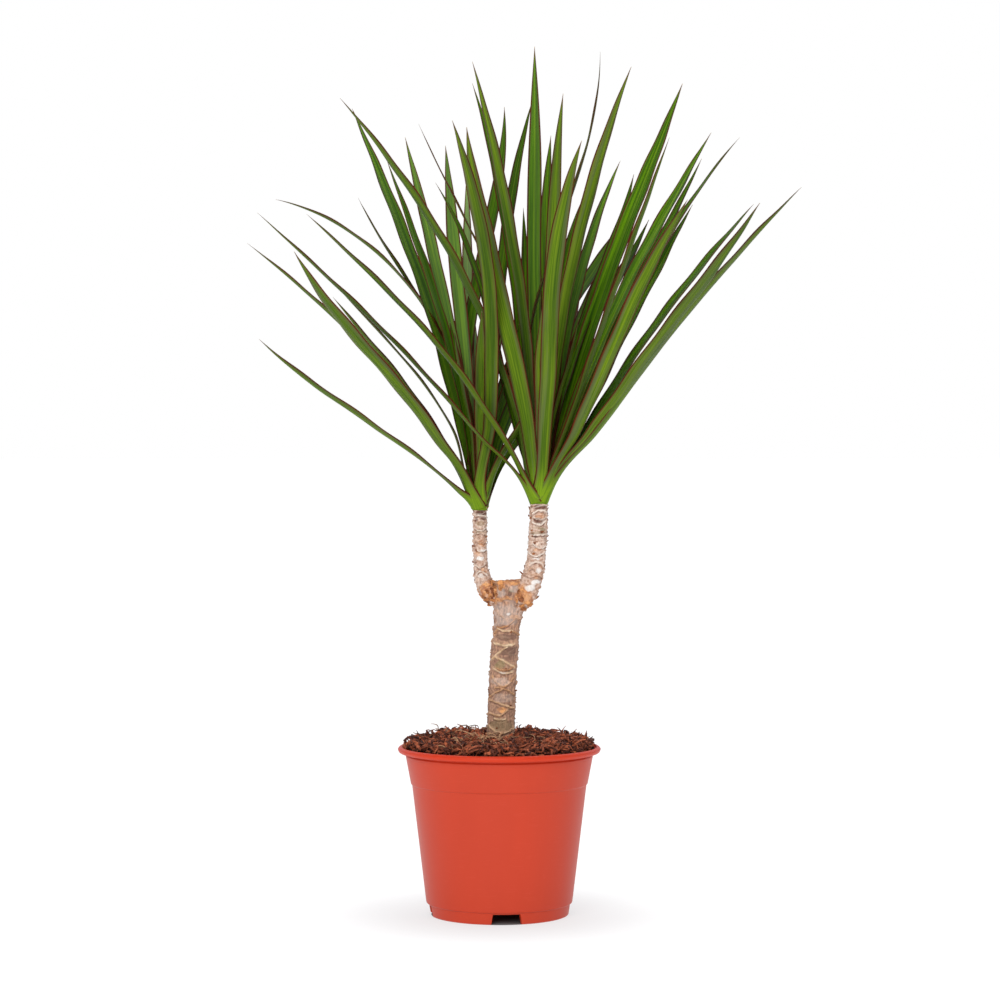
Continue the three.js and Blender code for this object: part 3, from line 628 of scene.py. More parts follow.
def pot_plastic(settings):
    """Moulded plastic: an even colour with faint flow marks, a rim painted brighter and more orange to
    stand in for light through its thin plastic, a satin skin and a very fine grain."""
    material, tree, shader = new_material("pot_plastic")
    place = object_place(tree)
    light = colour(settings.colour)
    dark = colour([0.86 * part for part in settings.colour])
    flow = uneven_tone(tree, stretched(tree, place, (1, 1, 0.3)), 22.0, light, dark, 0.35)
    scuff = uneven_tone(tree, stretched(tree, place, (1, 1, 6)), 120.0, light, dark, 1.0)
    scuffed = ramped(tree, scuff["Mask"], 0.9, 1.0, 0.0, 0.05)
    pale = colour([min(1.0, 1.15 * part + 0.05) for part in settings.colour])
    body = mixed(tree, scuffed, flow["Colour"], pale)
    height = add(tree, "ShaderNodeSeparateXYZ", {0: place}).outputs[2]
    # Painted light: from 94.5 mm up the colour turns brighter and more orange, standing in for light
    # through the thin rim.
    rim = ramped(tree, height, 0.0945, 0.0962)
    painted_rim_light = [min(1.0, part * gain) for part, gain in zip(settings.colour, (1.03, 0.74, 0.30))]
    tree.links.new(mixed(tree, rim, body, colour(painted_rim_light)), shader["Base Color"])
    tree.links.new(ramped(tree, flow["Mask"], 0.0, 1.0, 0.40, 0.47), shader["Roughness"])
    shader["IOR"].default_value = 1.49
    shader["Specular IOR Level"].default_value = 0.3
    rough_surface(tree, shader, place, 1400.0, 1.2, 0.06, 0.0002)
    return material


def mix_finish(settings):
    """The bed of the mix: crumbly, between the dark chips' colour and near black, the near black being
    painted shade in the gaps between the chips.
    """
    material, tree, shader = new_material("mix_finish")
    place = object_place(tree)
    tone = uneven_tone(tree, place, 260.0, colour(settings.dark_colour), colour(GAP_SHADE_BED), 1.0)
    tree.links.new(tone["Colour"], shader["Base Color"])
    shader["Roughness"].default_value = 0.95
    shader["Specular IOR Level"].default_value = 0.1
    rough_surface(tree, shader, place, 900.0, 2.5, 1.0, 0.0012)
    return material


def husk_finish(name, light, dark, grain, contrast):
    """Fibrous plant matter: the tone of each strip, streaked by a grain, dull and rough."""
    material, tree, shader = new_material(name)
    place = object_place(tree)
    tone = attribute(tree, "tone")
    base = mixed(tree, ramped(tree, tone, 0.0, 1.0), colour(dark), colour(light))
    shade = uneven_tone(tree, place, grain, (1.25, 1.2, 1.15, 1), (0.55, 0.5, 0.5, 1), contrast)
    tree.links.new(mixed(tree, 1.0, base, shade["Colour"], "MULTIPLY"), shader["Base Color"])
    tree.links.new(ramped(tree, shade["Mask"], 0.0, 1.0, 0.82, 0.66), shader["Roughness"])
    shader["Specular IOR Level"].default_value = 0.28
    rough_surface(tree, shader, place, grain * 4, 1.5, 0.5, 0.0004)
    return material


def bark_finish(settings):
    """Old cane: grey-brown panels streaked by fine upright fissures, darker or olive in places and with
    painted shadow under the drawn scar lines, between raised scar lines from orange to cream; the young
    branches are paler and pinker; rusty scales, brown leaf scars and white papery patches lie where their
    attributes say."""
    material, tree, shader = new_material("bark_finish")
    place = object_place(tree)
    fissures = stretched(tree, place, (1, 1, 0.4))
    young, ridge, paper = (attribute(tree, name) for name in ("young", "ridge", "paper"))

    grey = uneven_tone(tree, fissures, 800.0, colour(settings.panel_colour),
                       colour(BARK_TONES["dark panel"]), 0.9)
    pink = uneven_tone(tree, place, 600.0, colour(settings.branch_colour),
                       colour(BARK_TONES["dark branch"]), 1.0)
    panel = mixed(tree, young, grey["Colour"], pink["Colour"])
    # The tone attribute darkens panels and patches of the bark's own, and paints shadow under the drawn
    # scar lines.
    shade = ramped(tree, attribute(tree, "tone"), 0.0, 1.0, 0.0, 0.85)
    panel = mixed(tree, shade, panel, colour(BARK_TONES["shade"]))
    olive = calculated(tree, "MULTIPLY", attribute(tree, "olive"), 0.75)
    panel = mixed(tree, olive, panel, colour(BARK_TONES["olive"]))
    for name, scale, contrast in (("rust", 420.0, 1.0), ("scar", 700.0, 0.8)):
        cover = uneven_tone(tree, place, scale, colour(BARK_TONES[name]),
                            colour(BARK_TONES[f"dark {name}"]), contrast)
        panel = mixed(tree, attribute(tree, name), panel, cover["Colour"])

    orange = uneven_tone(tree, place, 500.0, colour(BARK_TONES["orange line"]),
                         colour(BARK_TONES["dark line"]), 0.9)
    cream = uneven_tone(tree, place, 500.0, colour(settings.scar_colour),
                        colour(BARK_TONES["tan line"]), 0.7)
    cream = mixed(tree, young, cream["Colour"], colour(BARK_TONES["branch line"]))
    line = mixed(tree, attribute(tree, "pale"), orange["Colour"], cream)
    skin = mixed(tree, ridge, panel, line)
    skin = mixed(tree, paper, skin, colour(BARK_TONES["paper"]))
    tree.links.new(skin, shader["Base Color"])
    tree.links.new(ramped(tree, paper, 0.0, 1.0, 0.72, 0.34), shader["Roughness"])
    rough_surface(tree, shader, fissures, 1500.0, 2.0, 0.55, 0.0005, grey["Mask"])
    return material


def leaf_green(tree, settings, across, veins, hair, underside):
    """The blade's green: two greens streaked along the veins, finer streaks over them, a lighter
    stripe down the middle, a paler underside, long zones lighter and darker, and a painted grey sheen in
    long zones, stronger on the underside."""
    green = uneven_tone(tree, veins, 1.0, colour(settings.light_green),
                        colour(settings.deep_green), 1.2)
    green = mixed(tree, 1.0, green["Colour"], hair["Colour"], "MULTIPLY")
    off_middle = calculated(tree, "ABSOLUTE", calculated(tree, "SUBTRACT", across, 0.5))
    stripe = calculated(tree, "MULTIPLY", ramped(tree, off_middle, 0.01, 0.11, 1.0, 0.0),
                        ramped(tree, hair["Mask"], 0.1, 0.9, 0.2, 0.7))
    green = mixed(tree, stripe, green, colour(settings.stripe_colour))
    under = uneven_tone(tree, veins, 1.6, colour(LEAF_TONES["light underside"]),
                        colour(LEAF_TONES["dark underside"]), 1.2)
    green = mixed(tree, calculated(tree, "MULTIPLY", underside, 0.9), green, under["Colour"])
    zone_place = stretched(tree, veins, (0.22, 0.5, 1))
    zones = uneven_tone(tree, zone_place, 1.0, colour(LEAF_TONES["lighter zone"]),
                        colour(LEAF_TONES["darker zone"]), 1.0)
    green = mixed(tree, 1.0, green, zones["Colour"], "MULTIPLY")
    # Painted sheen: long zones greyed toward a pale grey-green, more on the underside.
    painted_sheen = uneven_tone(tree, zone_place, 1.4, (1, 1, 1, 1), (0, 0, 0, 1), 1.0)
    sheen_share = calculated(tree, "MULTIPLY", ramped(tree, painted_sheen["Mask"], 0.55, 1.0, 0.0, 0.6),
                        calculated(tree, "MULTIPLY_ADD", underside, 0.8, 0.2))
    return mixed(tree, sheen_share, green, colour(LEAF_TONES["painted_sheen"]))


def red_edges(tree, settings, green, base, hair_place, hair, underside):
    """The green with its margin: a dark red line of even width, thinner at the base, and a faint
    brown blush inside it, wider on the underside."""
    wobble = calculated(tree, "MULTIPLY", hair["Mask"], 0.0002)
    edge = calculated(tree, "ADD", attribute(tree, "edge"), wobble)
    edge = calculated(tree, "SUBTRACT", edge, calculated(tree, "MULTIPLY", base, 0.0004))
    width = settings.margin_width
    reach = calculated(tree, "MULTIPLY_ADD", underside, 1.2 * width, 2.2 * width)
    blush = ramped(tree, edge, 0.8 * width, reach, 0.45, 0.0)
    green = mixed(tree, blush, green, colour(LEAF_TONES["blush"]))
    margin = ramped(tree, edge, 0.62 * width, 1.15 * width, 1.0, 0.0)
    red = uneven_tone(tree, hair_place, 0.6, colour(settings.margin_colour),
                      colour(LEAF_TONES["dark margin"]), 0.8)
    return mixed(tree, margin, green, red["Colour"])


def leaf_skin(settings):
    """Waxy blade: streaked greens, a bright yellow-green base, a dark red margin, a dry tip that
    ends bleached, and a lightness for each leaf that is partly its own tone and partly painted light, with
    a painted whitish sheen on the lightest leaves."""
    material, tree, shader = new_material("leaf_skin")
    uv = add(tree, "ShaderNodeSeparateXYZ", {0: tree.nodes.new("ShaderNodeTexCoord").outputs["UV"]})
    across, along = uv.outputs[0], uv.outputs[1]
    seed, tone, underside = (attribute(tree, name) for name in ("seed", "tone", "underside"))
    veins = add(tree, "ShaderNodeCombineXYZ", {0: calculated(tree, "MULTIPLY", across, 9.0),
                                               1: calculated(tree, "MULTIPLY", along, 2.6),
                                               2: calculated(tree, "MULTIPLY", seed, 37.0)})
    veins = veins.outputs[0]
    hair_place = stretched(tree, veins, (2.6, 0.5, 1))
    hair = uneven_tone(tree, hair_place, 1.0, colour(LEAF_TONES["light hair"]),
                       colour(LEAF_TONES["dark hair"]), 0.8)

    green = leaf_green(tree, settings, across, veins, hair, underside)
    # Painted sheen: the lightest leaves turn toward a pale whitish green.
    pale = ramped(tree, tone, 0.3, 0.85, 0.0, 0.6)
    green = mixed(tree, pale, green, colour(LEAF_TONES["pale leaf"]))
    base = ramped(tree, along, 0.02, 0.11, 1.0, 0.0)
    fresh = uneven_tone(tree, hair_place, 0.5, colour(settings.base_colour),
                        colour(LEAF_TONES["dark base"]), 1.0)
    green = mixed(tree, base, green, fresh["Colour"])
    skin = red_edges(tree, settings, green, base, hair_place, hair, underside)
    skin = mixed(tree, ramped(tree, along, 0.955, 0.995), skin, colour(LEAF_TONES["dry"]))
    skin = mixed(tree, ramped(tree, along, 0.992, 1.0), skin, colour(LEAF_TONES["bleached"]))
    # Each leaf's lightness is partly its own tone and partly painted light.
    lightness = calculated(tree, "MULTIPLY_ADD", tone, 0.4, 1.0)
    lit = add(tree, "ShaderNodeCombineXYZ", {0: lightness, 1: lightness, 2: lightness}).outputs[0]
    tree.links.new(mixed(tree, 1.0, skin, lit, "MULTIPLY"), shader["Base Color"])

    tree.links.new(ramped(tree, hair["Mask"], 0.0, 1.0, 0.36, 0.52), shader["Roughness"])
    shader["IOR"].default_value = 1.42
    shader["Specular IOR Level"].default_value = 0.06
    ribs = calculated(tree, "MULTIPLY", hair["Mask"], 0.8)
    rough_surface(tree, shader, hair_place, 3.0, 1.0, 0.25, 0.0003, ribs)
    return material


def floor_finish(settings):
    """Lit white table: mostly its own light, with a pale skin that takes a faint shadow. Its light fades
    close to the pot's foot as a painted contact shadow, and stops under the pot as painted shade there."""
    material, tree, shader = new_material("floor_table")
    place = object_place(tree)
    light = colour(settings.floor_colour)
    dark = colour([0.98 * part for part in settings.floor_colour])
    tone = uneven_tone(tree, place, 3.0, light, dark, 0.4)
    tree.links.new(tone["Colour"], shader["Base Color"])
    away = add(tree, "ShaderNodeVectorMath", {0: place, 1: tuple(POT_AXIS)}, operation="DISTANCE")
    # Painted contact shadow: the floor's own light drops to 0.76 of its strength close to the pot.
    near = ramped(tree, away.outputs["Value"], 0.04, 0.14, 0.76, 1.0)
    glow = calculated(tree, "MULTIPLY", near, settings.floor_glow)
    # Painted shade: the floor gives no light of its own under the pot's foot ring.
    clear = calculated(tree, "GREATER_THAN", away.outputs["Value"], 0.0404)
    tree.links.new(calculated(tree, "MULTIPLY", glow, clear), shader["Emission Strength"])
    shader["Emission Color"].default_value = (1, 1, 1, 1)
    shader["Roughness"].default_value = 0.9
    shader["Specular IOR Level"].default_value = 0.1
    return material


# ------------------------------------------------------------------ settings

class PotSettings(bpy.types.PropertyGroup):
    """Sizes and colour of the nursery pot."""

    wall: FloatProperty(name="Wall", description="Thickness of the moulded wall", default=0.0012,
                        unit="LENGTH", subtype="DISTANCE")
    notch_height: FloatProperty(name="Notch height", description="Height of the foot ring's notches",
                                default=0.0062, unit="LENGTH", subtype="DISTANCE")
    drain_radius: FloatProperty(name="Drain holes", description="Radius of the holes in the floor",
                                default=0.004, unit="LENGTH", subtype="DISTANCE")
    colour: FloatVectorProperty(name="Colour", description="Colour of the plastic", size=3,
                                subtype="COLOR", default=(0.571, 0.0455, 0.0134), min=0, max=1)


class MixSettings(bpy.types.PropertyGroup):
    """Shape, pieces and colours of the potting mix."""

    crest: FloatProperty(name="Crest", description="Height of the mix at the cane", default=0.1038,
                         unit="LENGTH", subtype="DISTANCE")
    edge: FloatProperty(name="Edge", description="Height of the mix at the rim", default=0.0984,
                        unit="LENGTH", subtype="DISTANCE")
    chips: IntProperty(name="Chips", description="How many husk chips lie on the mix", default=3200)
    fibres: IntProperty(name="Fibres", description="How many loose fibres lie on it", default=340)
    light_colour: FloatVectorProperty(name="Light chips", description="Colour of the lightest chips",
                                      size=3, subtype="COLOR", default=(0.48, 0.130, 0.055))
    dark_colour: FloatVectorProperty(name="Dark chips", description="Colour of the darkest chips",
                                     size=3, subtype="COLOR", default=(0.060, 0.016, 0.010))
    fibre_colour: FloatVectorProperty(name="Fibres", description="Colour of the palest fibres",
                                      size=3, subtype="COLOR", default=(0.74, 0.45, 0.25))


class CaneSettings(bpy.types.PropertyGroup):
    """Relief and colours of the cane."""

    scar_pitch: FloatProperty(name="Scar pitch", description="Height between the old leaf scars",
                              default=0.0085, unit="LENGTH", subtype="DISTANCE")
    ring_pitch: FloatProperty(name="Ring pitch", description="Height between the branches' rings",
                              default=0.0042, unit="LENGTH", subtype="DISTANCE")
    relief: FloatProperty(name="Relief", description="How far the scars stand out", default=0.00075,
                          unit="LENGTH", subtype="DISTANCE")
    panel_colour: FloatVectorProperty(name="Panels", description="Bark between the scars", size=3,
                                      subtype="COLOR", default=(0.59, 0.325, 0.205))
    branch_colour: FloatVectorProperty(name="Branches", description="Young bark", size=3,
                                       subtype="COLOR", default=(0.73, 0.53, 0.42))
    scar_colour: FloatVectorProperty(name="Scars", description="The raised scar lines", size=3,
                                     subtype="COLOR", default=(0.92, 0.73, 0.49))


class LeafSettings(bpy.types.PropertyGroup):
    """Thickness, form and colours of the leaves."""

    thickness: FloatProperty(name="Thickness", description="Thickness along the middle",
                             default=0.0005, unit="LENGTH", subtype="DISTANCE")
    channel: FloatProperty(name="Channel", description="Rise of the margins as a share of the width",
                           default=0.12, subtype="FACTOR", min=0, max=0.5)
    drop: FloatProperty(name="Drop", description="How far the middle lies under the measured line, "
                        "as a share of the width", default=0.26, subtype="FACTOR", min=0, max=0.5)
    margin_width: FloatProperty(name="Margin", description="Width of the dark red margin",
                                default=0.00085, unit="LENGTH", subtype="DISTANCE")
    light_green: FloatVectorProperty(name="Light green", description="Lighter streaks", size=3,
                                     subtype="COLOR", default=(0.082, 0.190, 0.001))
    deep_green: FloatVectorProperty(name="Deep green", description="Darker streaks", size=3,
                                    subtype="COLOR", default=(0.024, 0.074, 0.001))
    stripe_colour: FloatVectorProperty(name="Stripe", description="Stripe down the middle", size=3,
                                       subtype="COLOR", default=(0.155, 0.275, 0.004))
    base_colour: FloatVectorProperty(name="Base", description="Clasping base of the leaf", size=3,
                                     subtype="COLOR", default=(0.175, 0.285, 0.010))
    margin_colour: FloatVectorProperty(name="Margin colour", description="The dark red margin",
                                       size=3, subtype="COLOR", default=(0.110, 0.018, 0.006))


class StageSettings(bpy.types.PropertyGroup):
    """Camera, light and floor."""

    camera_distance: FloatProperty(name="Camera distance", description="From the pot's axis",
                                   default=VIEW["distance"] * MM, unit="LENGTH",
                                   subtype="DISTANCE")
    camera_height: FloatProperty(name="Camera height", description="Above the floor",
                                 default=VIEW["height"] * MM, unit="LENGTH", subtype="DISTANCE")
    lens: FloatProperty(name="Lens", description="Focal length in millimetres", default=102.86)
    key_power: FloatProperty(name="Key light", description="Power of the key light in watts",
                             default=32.0)
    fill_power: FloatProperty(name="Fill light", description="Power of the fill light in watts",
                              default=4.0)
    top_power: FloatProperty(name="Top light", description="Power of the top light in watts",
                             default=8.0)
    floor_colour: FloatVectorProperty(name="Floor", description="Colour of the floor", size=3,
                                      subtype="COLOR", default=(0.22, 0.22, 0.22))
    floor_glow: FloatProperty(name="Floor glow", description="Light that the floor gives by itself",
                              default=0.88)


# ------------------------------------------------------------------ pot

NOTCH = {"count": 4, "first": -84, "bottom": 17.6, "top": 15.5}
DRAIN = {"circle": 27.0, "sides": 40, "cut": (3.0, 12.0)}
POT_SIDES = 200
SIDE_GAP = 0.03  # degrees between the two columns at each side of a notch
WALL_FOOT = 43.4  # radius of the wall at its foot
STAND = {"outer": 40.0, "inner": 38.7, "floor": 6.8}


def pot_outline(wall):
    """The pot's section as [radius, height], from the middle of the floor's underside, down and up
    round the foot ring, up the wall, over the rolled rim and down the inside."""
    rim = RIM_RADIUS / MM
    top = POT_HEIGHT / MM
    return rounded([
        (0.02, STAND["floor"], 0), (STAND["inner"] - 0.2, STAND["floor"], 0.5),
        (STAND["inner"], 0, 0.25), (STAND["outer"] + 1.2, 0, 1.0), (42.3, 6.9, 0.35),
        (WALL_FOOT, 7.4, 0.5), (WALL_FOOT + 0.35, 9.8, 1.3), (51.9, 77.3, 0.25), (52.6, 77.9, 0.25),
        (55.75, 94.6, 0.3), (55.05, 95.3, 0.25), (55.15, 96.3, 0.25), (rim - 1.0, 96.3, 0.5),
        (rim, 97.6, 0.9), (rim - 0.05, 98.8, 0.8), (rim - 1.5, top, 0.9), (58.0, top - 0.2, 0.5),
        (57.3, 98.4, 0.5), (55.1, 97.0, 0.5), (54.6, 95.6, 0.5), (55.5 - wall, 93.4, 0.8),
        (52.3 - wall, 77.2, 0.3), (51.6 - wall, 75.6, 0.3),
        (WALL_FOOT - wall, STAND["floor"] + wall, 1.0), (0.02, STAND["floor"] + wall, 0),
    ])


def notch_columns():
    """Angles of the pot's columns: even ones all round, and at each side of each notch a pair, so
    that the notch's side is a clean step. Returns the angle of each column's foot in degrees, the
    notch side it keeps to (-1, 1, or 0 for none), the notch's middle and whether it is cut."""
    even = np.arange(POT_SIDES) * 360 / POT_SIDES
    middles = NOTCH["first"] + np.arange(NOTCH["count"]) * 360 / NOTCH["count"]
    half = math.degrees(math.asin(NOTCH["bottom"] / 2 / STAND["outer"]))
    gap = (even[:, None] - middles + 180) % 360 - 180
    nearest = np.abs(gap).argmin(1)
    away = np.abs(gap).min(1)
    keep = np.abs(away - half) > 1.2
    columns = [(a, 0, middles[n], float(d < half)) for a, n, d in
               zip(even[keep], nearest[keep], away[keep])]
    for middle in middles:
        for side in (-1, 1):
            for cut in (0.0, 1.0):
                columns.append(((middle + side * half) % 360 + 0.001 * side * (1 - cut), side,
                                middle, cut))
    return np.array(sorted(columns))


def pot_rings(settings):
    """The outline turned round the axis. In the columns of a notch nothing hangs lower than the
    notch's top; the columns at its sides lean in with its slanted sides."""
    outline = pot_outline(settings.wall / MM)
    radius, height = outline[:, :1], outline[:, 1:]
    foot, side, middle, cut = notch_columns().T
    top = settings.notch_height / MM
    ring = (radius > STAND["inner"] - 1) & (height < top)
    raised = np.where(ring & (cut > 0), top - 0.02 * (top - height), height)
    share = np.clip(np.where(ring, raised, 0) / top, 0, 1)
    half = (NOTCH["bottom"] + (NOTCH["top"] - NOTCH["bottom"]) * share) / 2
    slanted = middle + side * np.degrees(np.arcsin(half / STAND["outer"]))
    angle = np.radians(np.where((side != 0) & (radius > STAND["inner"] - 1), slanted, foot))
    angle = angle + np.radians(SIDE_GAP) * side * (1 - cut)
    return np.stack([radius * np.cos(angle), radius * np.sin(angle), raised], -1)


def drain_cutter():
    """Upright cylinders where the floor's drain holes are, one between each two notches."""
    angles = np.linspace(0, 2 * np.pi, DRAIN["sides"], endpoint=False)
    radius = bpy.context.scene.tree_pot.drain_radius / MM
    circle = np.stack([np.cos(angles), np.sin(angles)], -1) * radius
    bodies = []
    for i in range(NOTCH["count"]):
        place = math.radians(NOTCH["first"] + (i + 0.5) * 360 / NOTCH["count"])
        middle = np.array([math.cos(place), math.sin(place)]) * DRAIN["circle"]
        rings = np.stack([np.column_stack([circle + middle, np.full(len(circle), height)])
                          for height in DRAIN["cut"]])
        bodies.append((*fan_closed(rings), {}))
    points, faces, _ = joined(bodies)
    return bpy.data.objects.new("drain_cutter", new_mesh("drain_cutter", points, faces))


class TREE_OT_pot(bpy.types.Operator):
    """Build the moulded pot with its rolled rim, foot ring, notches and drain holes"""

    bl_idname = "tree.pot"
    bl_label = "Pot"

    def execute(self, context):
        settings = context.scene.tree_pot
        mesh = new_mesh("pot_shell", *fan_closed(pot_rings(settings)))
        blank = bpy.data.objects.new("pot_blank", mesh)
        cutter = drain_cutter()
        for item in (blank, cutter):
            context.scene.collection.objects.link(item)
        holes = blank.modifiers.new("drain holes", "BOOLEAN")
        holes.operation = "DIFFERENCE"
        holes.solver = "EXACT"
        holes.object = cutter
        drawn = blank.evaluated_get(context.evaluated_depsgraph_get())
        drilled = bpy.data.meshes.new_from_object(drawn)
        if len(drilled.polygons) <= len(mesh.polygons):
            raise RuntimeError("the drain holes weren't cut")
        for item in (blank, cutter):
            bpy.data.objects.remove(item)
        mesh.name = "pot_undrilled"
        drilled.name = "pot_shell"
        new_piece(drilled, pot_plastic(settings), ["pot"], crease=32)
        return {"FINISHED"}


# ------------------------------------------------------------------ potting mix

MIX_EDGE = 57.0  # radius of the mix's surface
# The mix inside the pot's wall, as radius and height from the middle of the pot's floor up to the rim.
MIX_WALL = [(0.02, 8.3), (41.2, 8.3), (50.1, 75.6), (50.8, 77.2), (54.0, 93.4), (54.4, 95.6),
            (54.9, 97.0)]
MIX_SIDES = 240
MIX_RINGS = 90
MIX_CELLS = 128  # crumbs in the coarser noise, about a mm each
CRUMB = 1.5  # how far crumbs stand out
# Where the mix sinks before the cane's foot: its middle, how far, and its spread in square mm.
HOLLOW = {"depth": -10, "fall": 2.4, "spread": 90}
CANE_CLEAR = 10.0  # no chip or loose fibre starts closer to the axis
RIM_CLEAR = 0.4  # one that would end closer to the mix's edge is turned round


def mix_height(across, depth, settings):
    """The mix's surface: a low mound, less a bell-shaped hollow before the cane, with two sets of soft
    waves that die out at the rim."""
    share = np.hypot(across, depth) / MIX_EDGE
    edge = settings.edge / MM
    mound = edge + (settings.crest / MM - edge) * (1 - share**2.6)
    waves = (np.sin(0.31 * across + 1.3) * np.cos(0.27 * depth + 0.4)
             + 0.6 * np.sin(0.53 * across - 0.41 * depth) * np.cos(0.47 * across + 0.6 * depth + 1))
    away = across**2 + (depth - HOLLOW["depth"])**2
    hollow = HOLLOW["fall"] * np.exp(-away / HOLLOW["spread"])
    return mound - hollow + waves * (1 - share**4)


def mix_rings(settings):
    """Rings up inside the pot's wall, then in over the mound, with crumbs raised by soft noise."""
    angle = np.linspace(0, 2 * np.pi, MIX_SIDES, endpoint=False)
    wall = rounded([(r, h, 0) for r, h in MIX_WALL], longest=6)
    top = MIX_EDGE * np.linspace(1, 0.01, MIX_RINGS)
    radius = np.concatenate([wall[:, 0], top])[:, None]
    across, depth = radius * np.cos(angle), radius * np.sin(angle)
    coarse = soft_noise(across / MIX_CELLS + 0.5, depth + 64, SEEDS["mix"], MIX_CELLS)
    fine = soft_noise(across / 60 + 0.5, depth * 2.1 + 64, SEEDS["mix"] + 1, MIX_CELLS)
    crumbs = CRUMB * (coarse + 0.7 * fine - 0.8)
    surface = mix_height(across, depth, settings) + crumbs * smooth_step(MIX_EDGE - radius, 0, 3)
    height = np.concatenate([np.repeat(wall[:, 1:], MIX_SIDES, 1), surface[len(wall):]])
    return np.stack([across, depth, height], -1)


class TREE_OT_potting_mix(bpy.types.Operator):
    """Build the crumbly bed of the mix"""

    bl_idname = "tree.potting_mix"
    bl_label = "Potting mix"

    def execute(self, context):
        settings = context.scene.tree_mix
        mesh = new_mesh("mix_bed", *fan_closed(mix_rings(settings)))
        new_piece(mesh, mix_finish(settings), ["soil"])
        return {"FINISHED"}


def scattered(draw, count, reach, settings):
    """Places spread evenly over the mix, out to `reach`, but clear of the cane."""
    radius = np.sqrt(draw.uniform((CANE_CLEAR / reach)**2, 1, count)) * reach
    angle = draw.uniform(0, 2 * np.pi, count)
    across, depth = radius * np.cos(angle), radius * np.sin(angle)
    return np.stack([across, depth, mix_height(across, depth, settings)], -1)


def headings(draw, count, steep):
    """Level directions all round, each raised by its own angle, and normals that lean off upright."""
    turn = draw.uniform(0, 2 * np.pi, count)
    level = np.stack([np.cos(turn), np.sin(turn), np.zeros(count)], -1)
    heading = level * np.cos(steep)[:, None] + UP * np.sin(steep)[:, None]
    lean = draw.normal(0, 0.45, (count, 3))
    return heading, unit(UP + lean)


def kept_inside(origin, heading, length):
    """The headings, turned round to the other side where a strip would reach over the rim."""
    out = origin[:, :2] + heading[:, :2] * length[:, None]
    over = np.hypot(out[:, 0], out[:, 1]) > MIX_EDGE - RIM_CLEAR
    return np.where(over[:, None], heading * [-1, -1, 1], heading)


class TREE_OT_husk_chips(bpy.types.Operator):
    """Scatter shredded husk chips over the mix, most of them lying and some standing up"""

    bl_idname = "tree.husk_chips"
    bl_label = "Husk chips"

    def execute(self, context):
        settings = context.scene.tree_mix
        draw = np.random.default_rng(SEEDS["chips"])
        count = settings.chips
        origin = scattered(draw, count, MIX_EDGE - 0.6, settings)
        steep = np.where(draw.random(count) < 0.2, draw.uniform(0.4, 1.2, count),
                         draw.normal(0.12, 0.16, count))
        heading, normal = headings(draw, count, steep)
        length = draw.uniform(4.0, 10.5, count) * (1 - 0.35 * (steep > 0.4))
        heading = kept_inside(origin, heading, length)
        near_rim = smooth_step(np.hypot(origin[:, 0], origin[:, 1]), 38, 50)
        origin[:, 2] += draw.uniform(-1.6, 2.1, count) + near_rim * draw.uniform(0, 1.8, count)
        rings = strips(origin, heading, normal, length, draw.uniform(0.6, 1.9, count),
                       draw.uniform(0.4, 1.0, count), draw.normal(0.2, 1.2, count),
                       draw.normal(0.7, 1.1, count), draw.normal(0, 1.1, count),
                       draw.normal(0, 1.8, count), (0.3, 0.75, 1.0, 0.95, 0.8, 0.6, 0.2))
        mesh = strip_mesh("husk_chips", rings, draw.beta(0.9, 1.3, count))
        finish = husk_finish("husk_finish", settings.light_colour, settings.dark_colour, 420.0,
                             1.1)
        new_piece(mesh, finish)
        return {"FINISHED"}


class TREE_OT_root_fibres(bpy.types.Operator):
    """Lay loose fibres on the mix, and a heap of pale roots at the foot of the cane"""

    bl_idname = "tree.root_fibres"
    bl_label = "Root fibres"

    def execute(self, context):
        settings = context.scene.tree_mix
        draw = np.random.default_rng(SEEDS["fibres"])
        count = settings.fibres
        near = count // 3
        origin = scattered(draw, count, MIX_EDGE - 4, settings)
        # A third of them are pale roots, heaped before the cane's foot.
        origin[:near, 0] = draw.normal(-7.0, 7.0, near)
        origin[:near, 1] = -10.0 - np.abs(draw.normal(0, 12.0, near))
        origin[:near, 2] = mix_height(origin[:near, 0], origin[:near, 1], settings)
        origin[:, 2] += draw.uniform(0.8, 2.6, count)
        heading, normal = headings(draw, count, draw.normal(0.06, 0.2, count))
        length = draw.uniform(5, 17, count)
        heading = kept_inside(origin, heading, length)
        size = draw.uniform(0.25, 0.65, count)
        rings = strips(origin, heading, normal, length, size, size * 0.8,
                       draw.normal(-0.4, 1.4, count), draw.normal(0.7, 0.9, count),
                       draw.normal(0, 1.4, count), draw.normal(0, 1.5, count),
                       (0.6, 0.9, 1.0, 1.0, 0.95, 0.9, 0.8, 0.7, 0.5, 0.2))
        tone = 0.7 * draw.beta(1.5, 1.8, count)
        tone[:near] = 0.5 + 0.5 * tone[:near]
        finish = husk_finish("fibre_finish", settings.fibre_colour, DARK_FIBRE, 600.0, 0.5)
        new_piece(strip_mesh("root_fibres", rings, tone), finish)
        return {"FINISHED"}


# ------------------------------------------------------------------ cane

LIMB_SIDES = {"main": 128, "left": 88, "right": 96}
ROW_PITCH = 0.34
LINE_WIDTH = 0.42  # half the width of the net's lines on the cane
PANEL_ROWS = 97  # of the table that the panels draw their numbers from
KINDS = ("dark", "olive", "rust", "paper", "scar")
# What the bark of the cane and of its branches differs in: how much longer the limb is than it is high,
# the pitches that a set of lines climbs in one turn, the width of its lines as a share, how far the
# net fades out on the drawn front, how pale the net's lines are there, and how white its papery spots.
OLD_BARK = {"slack": 1.02, "turns": 2, "line": 1.0, "fade": 0.85, "pale": 0.4, "papery": 0.2}
YOUNG_BARK = {"slack": 1.12, "turns": 1, "line": 0.8, "fade": 0.55, "pale": 0.8, "papery": 0.9}
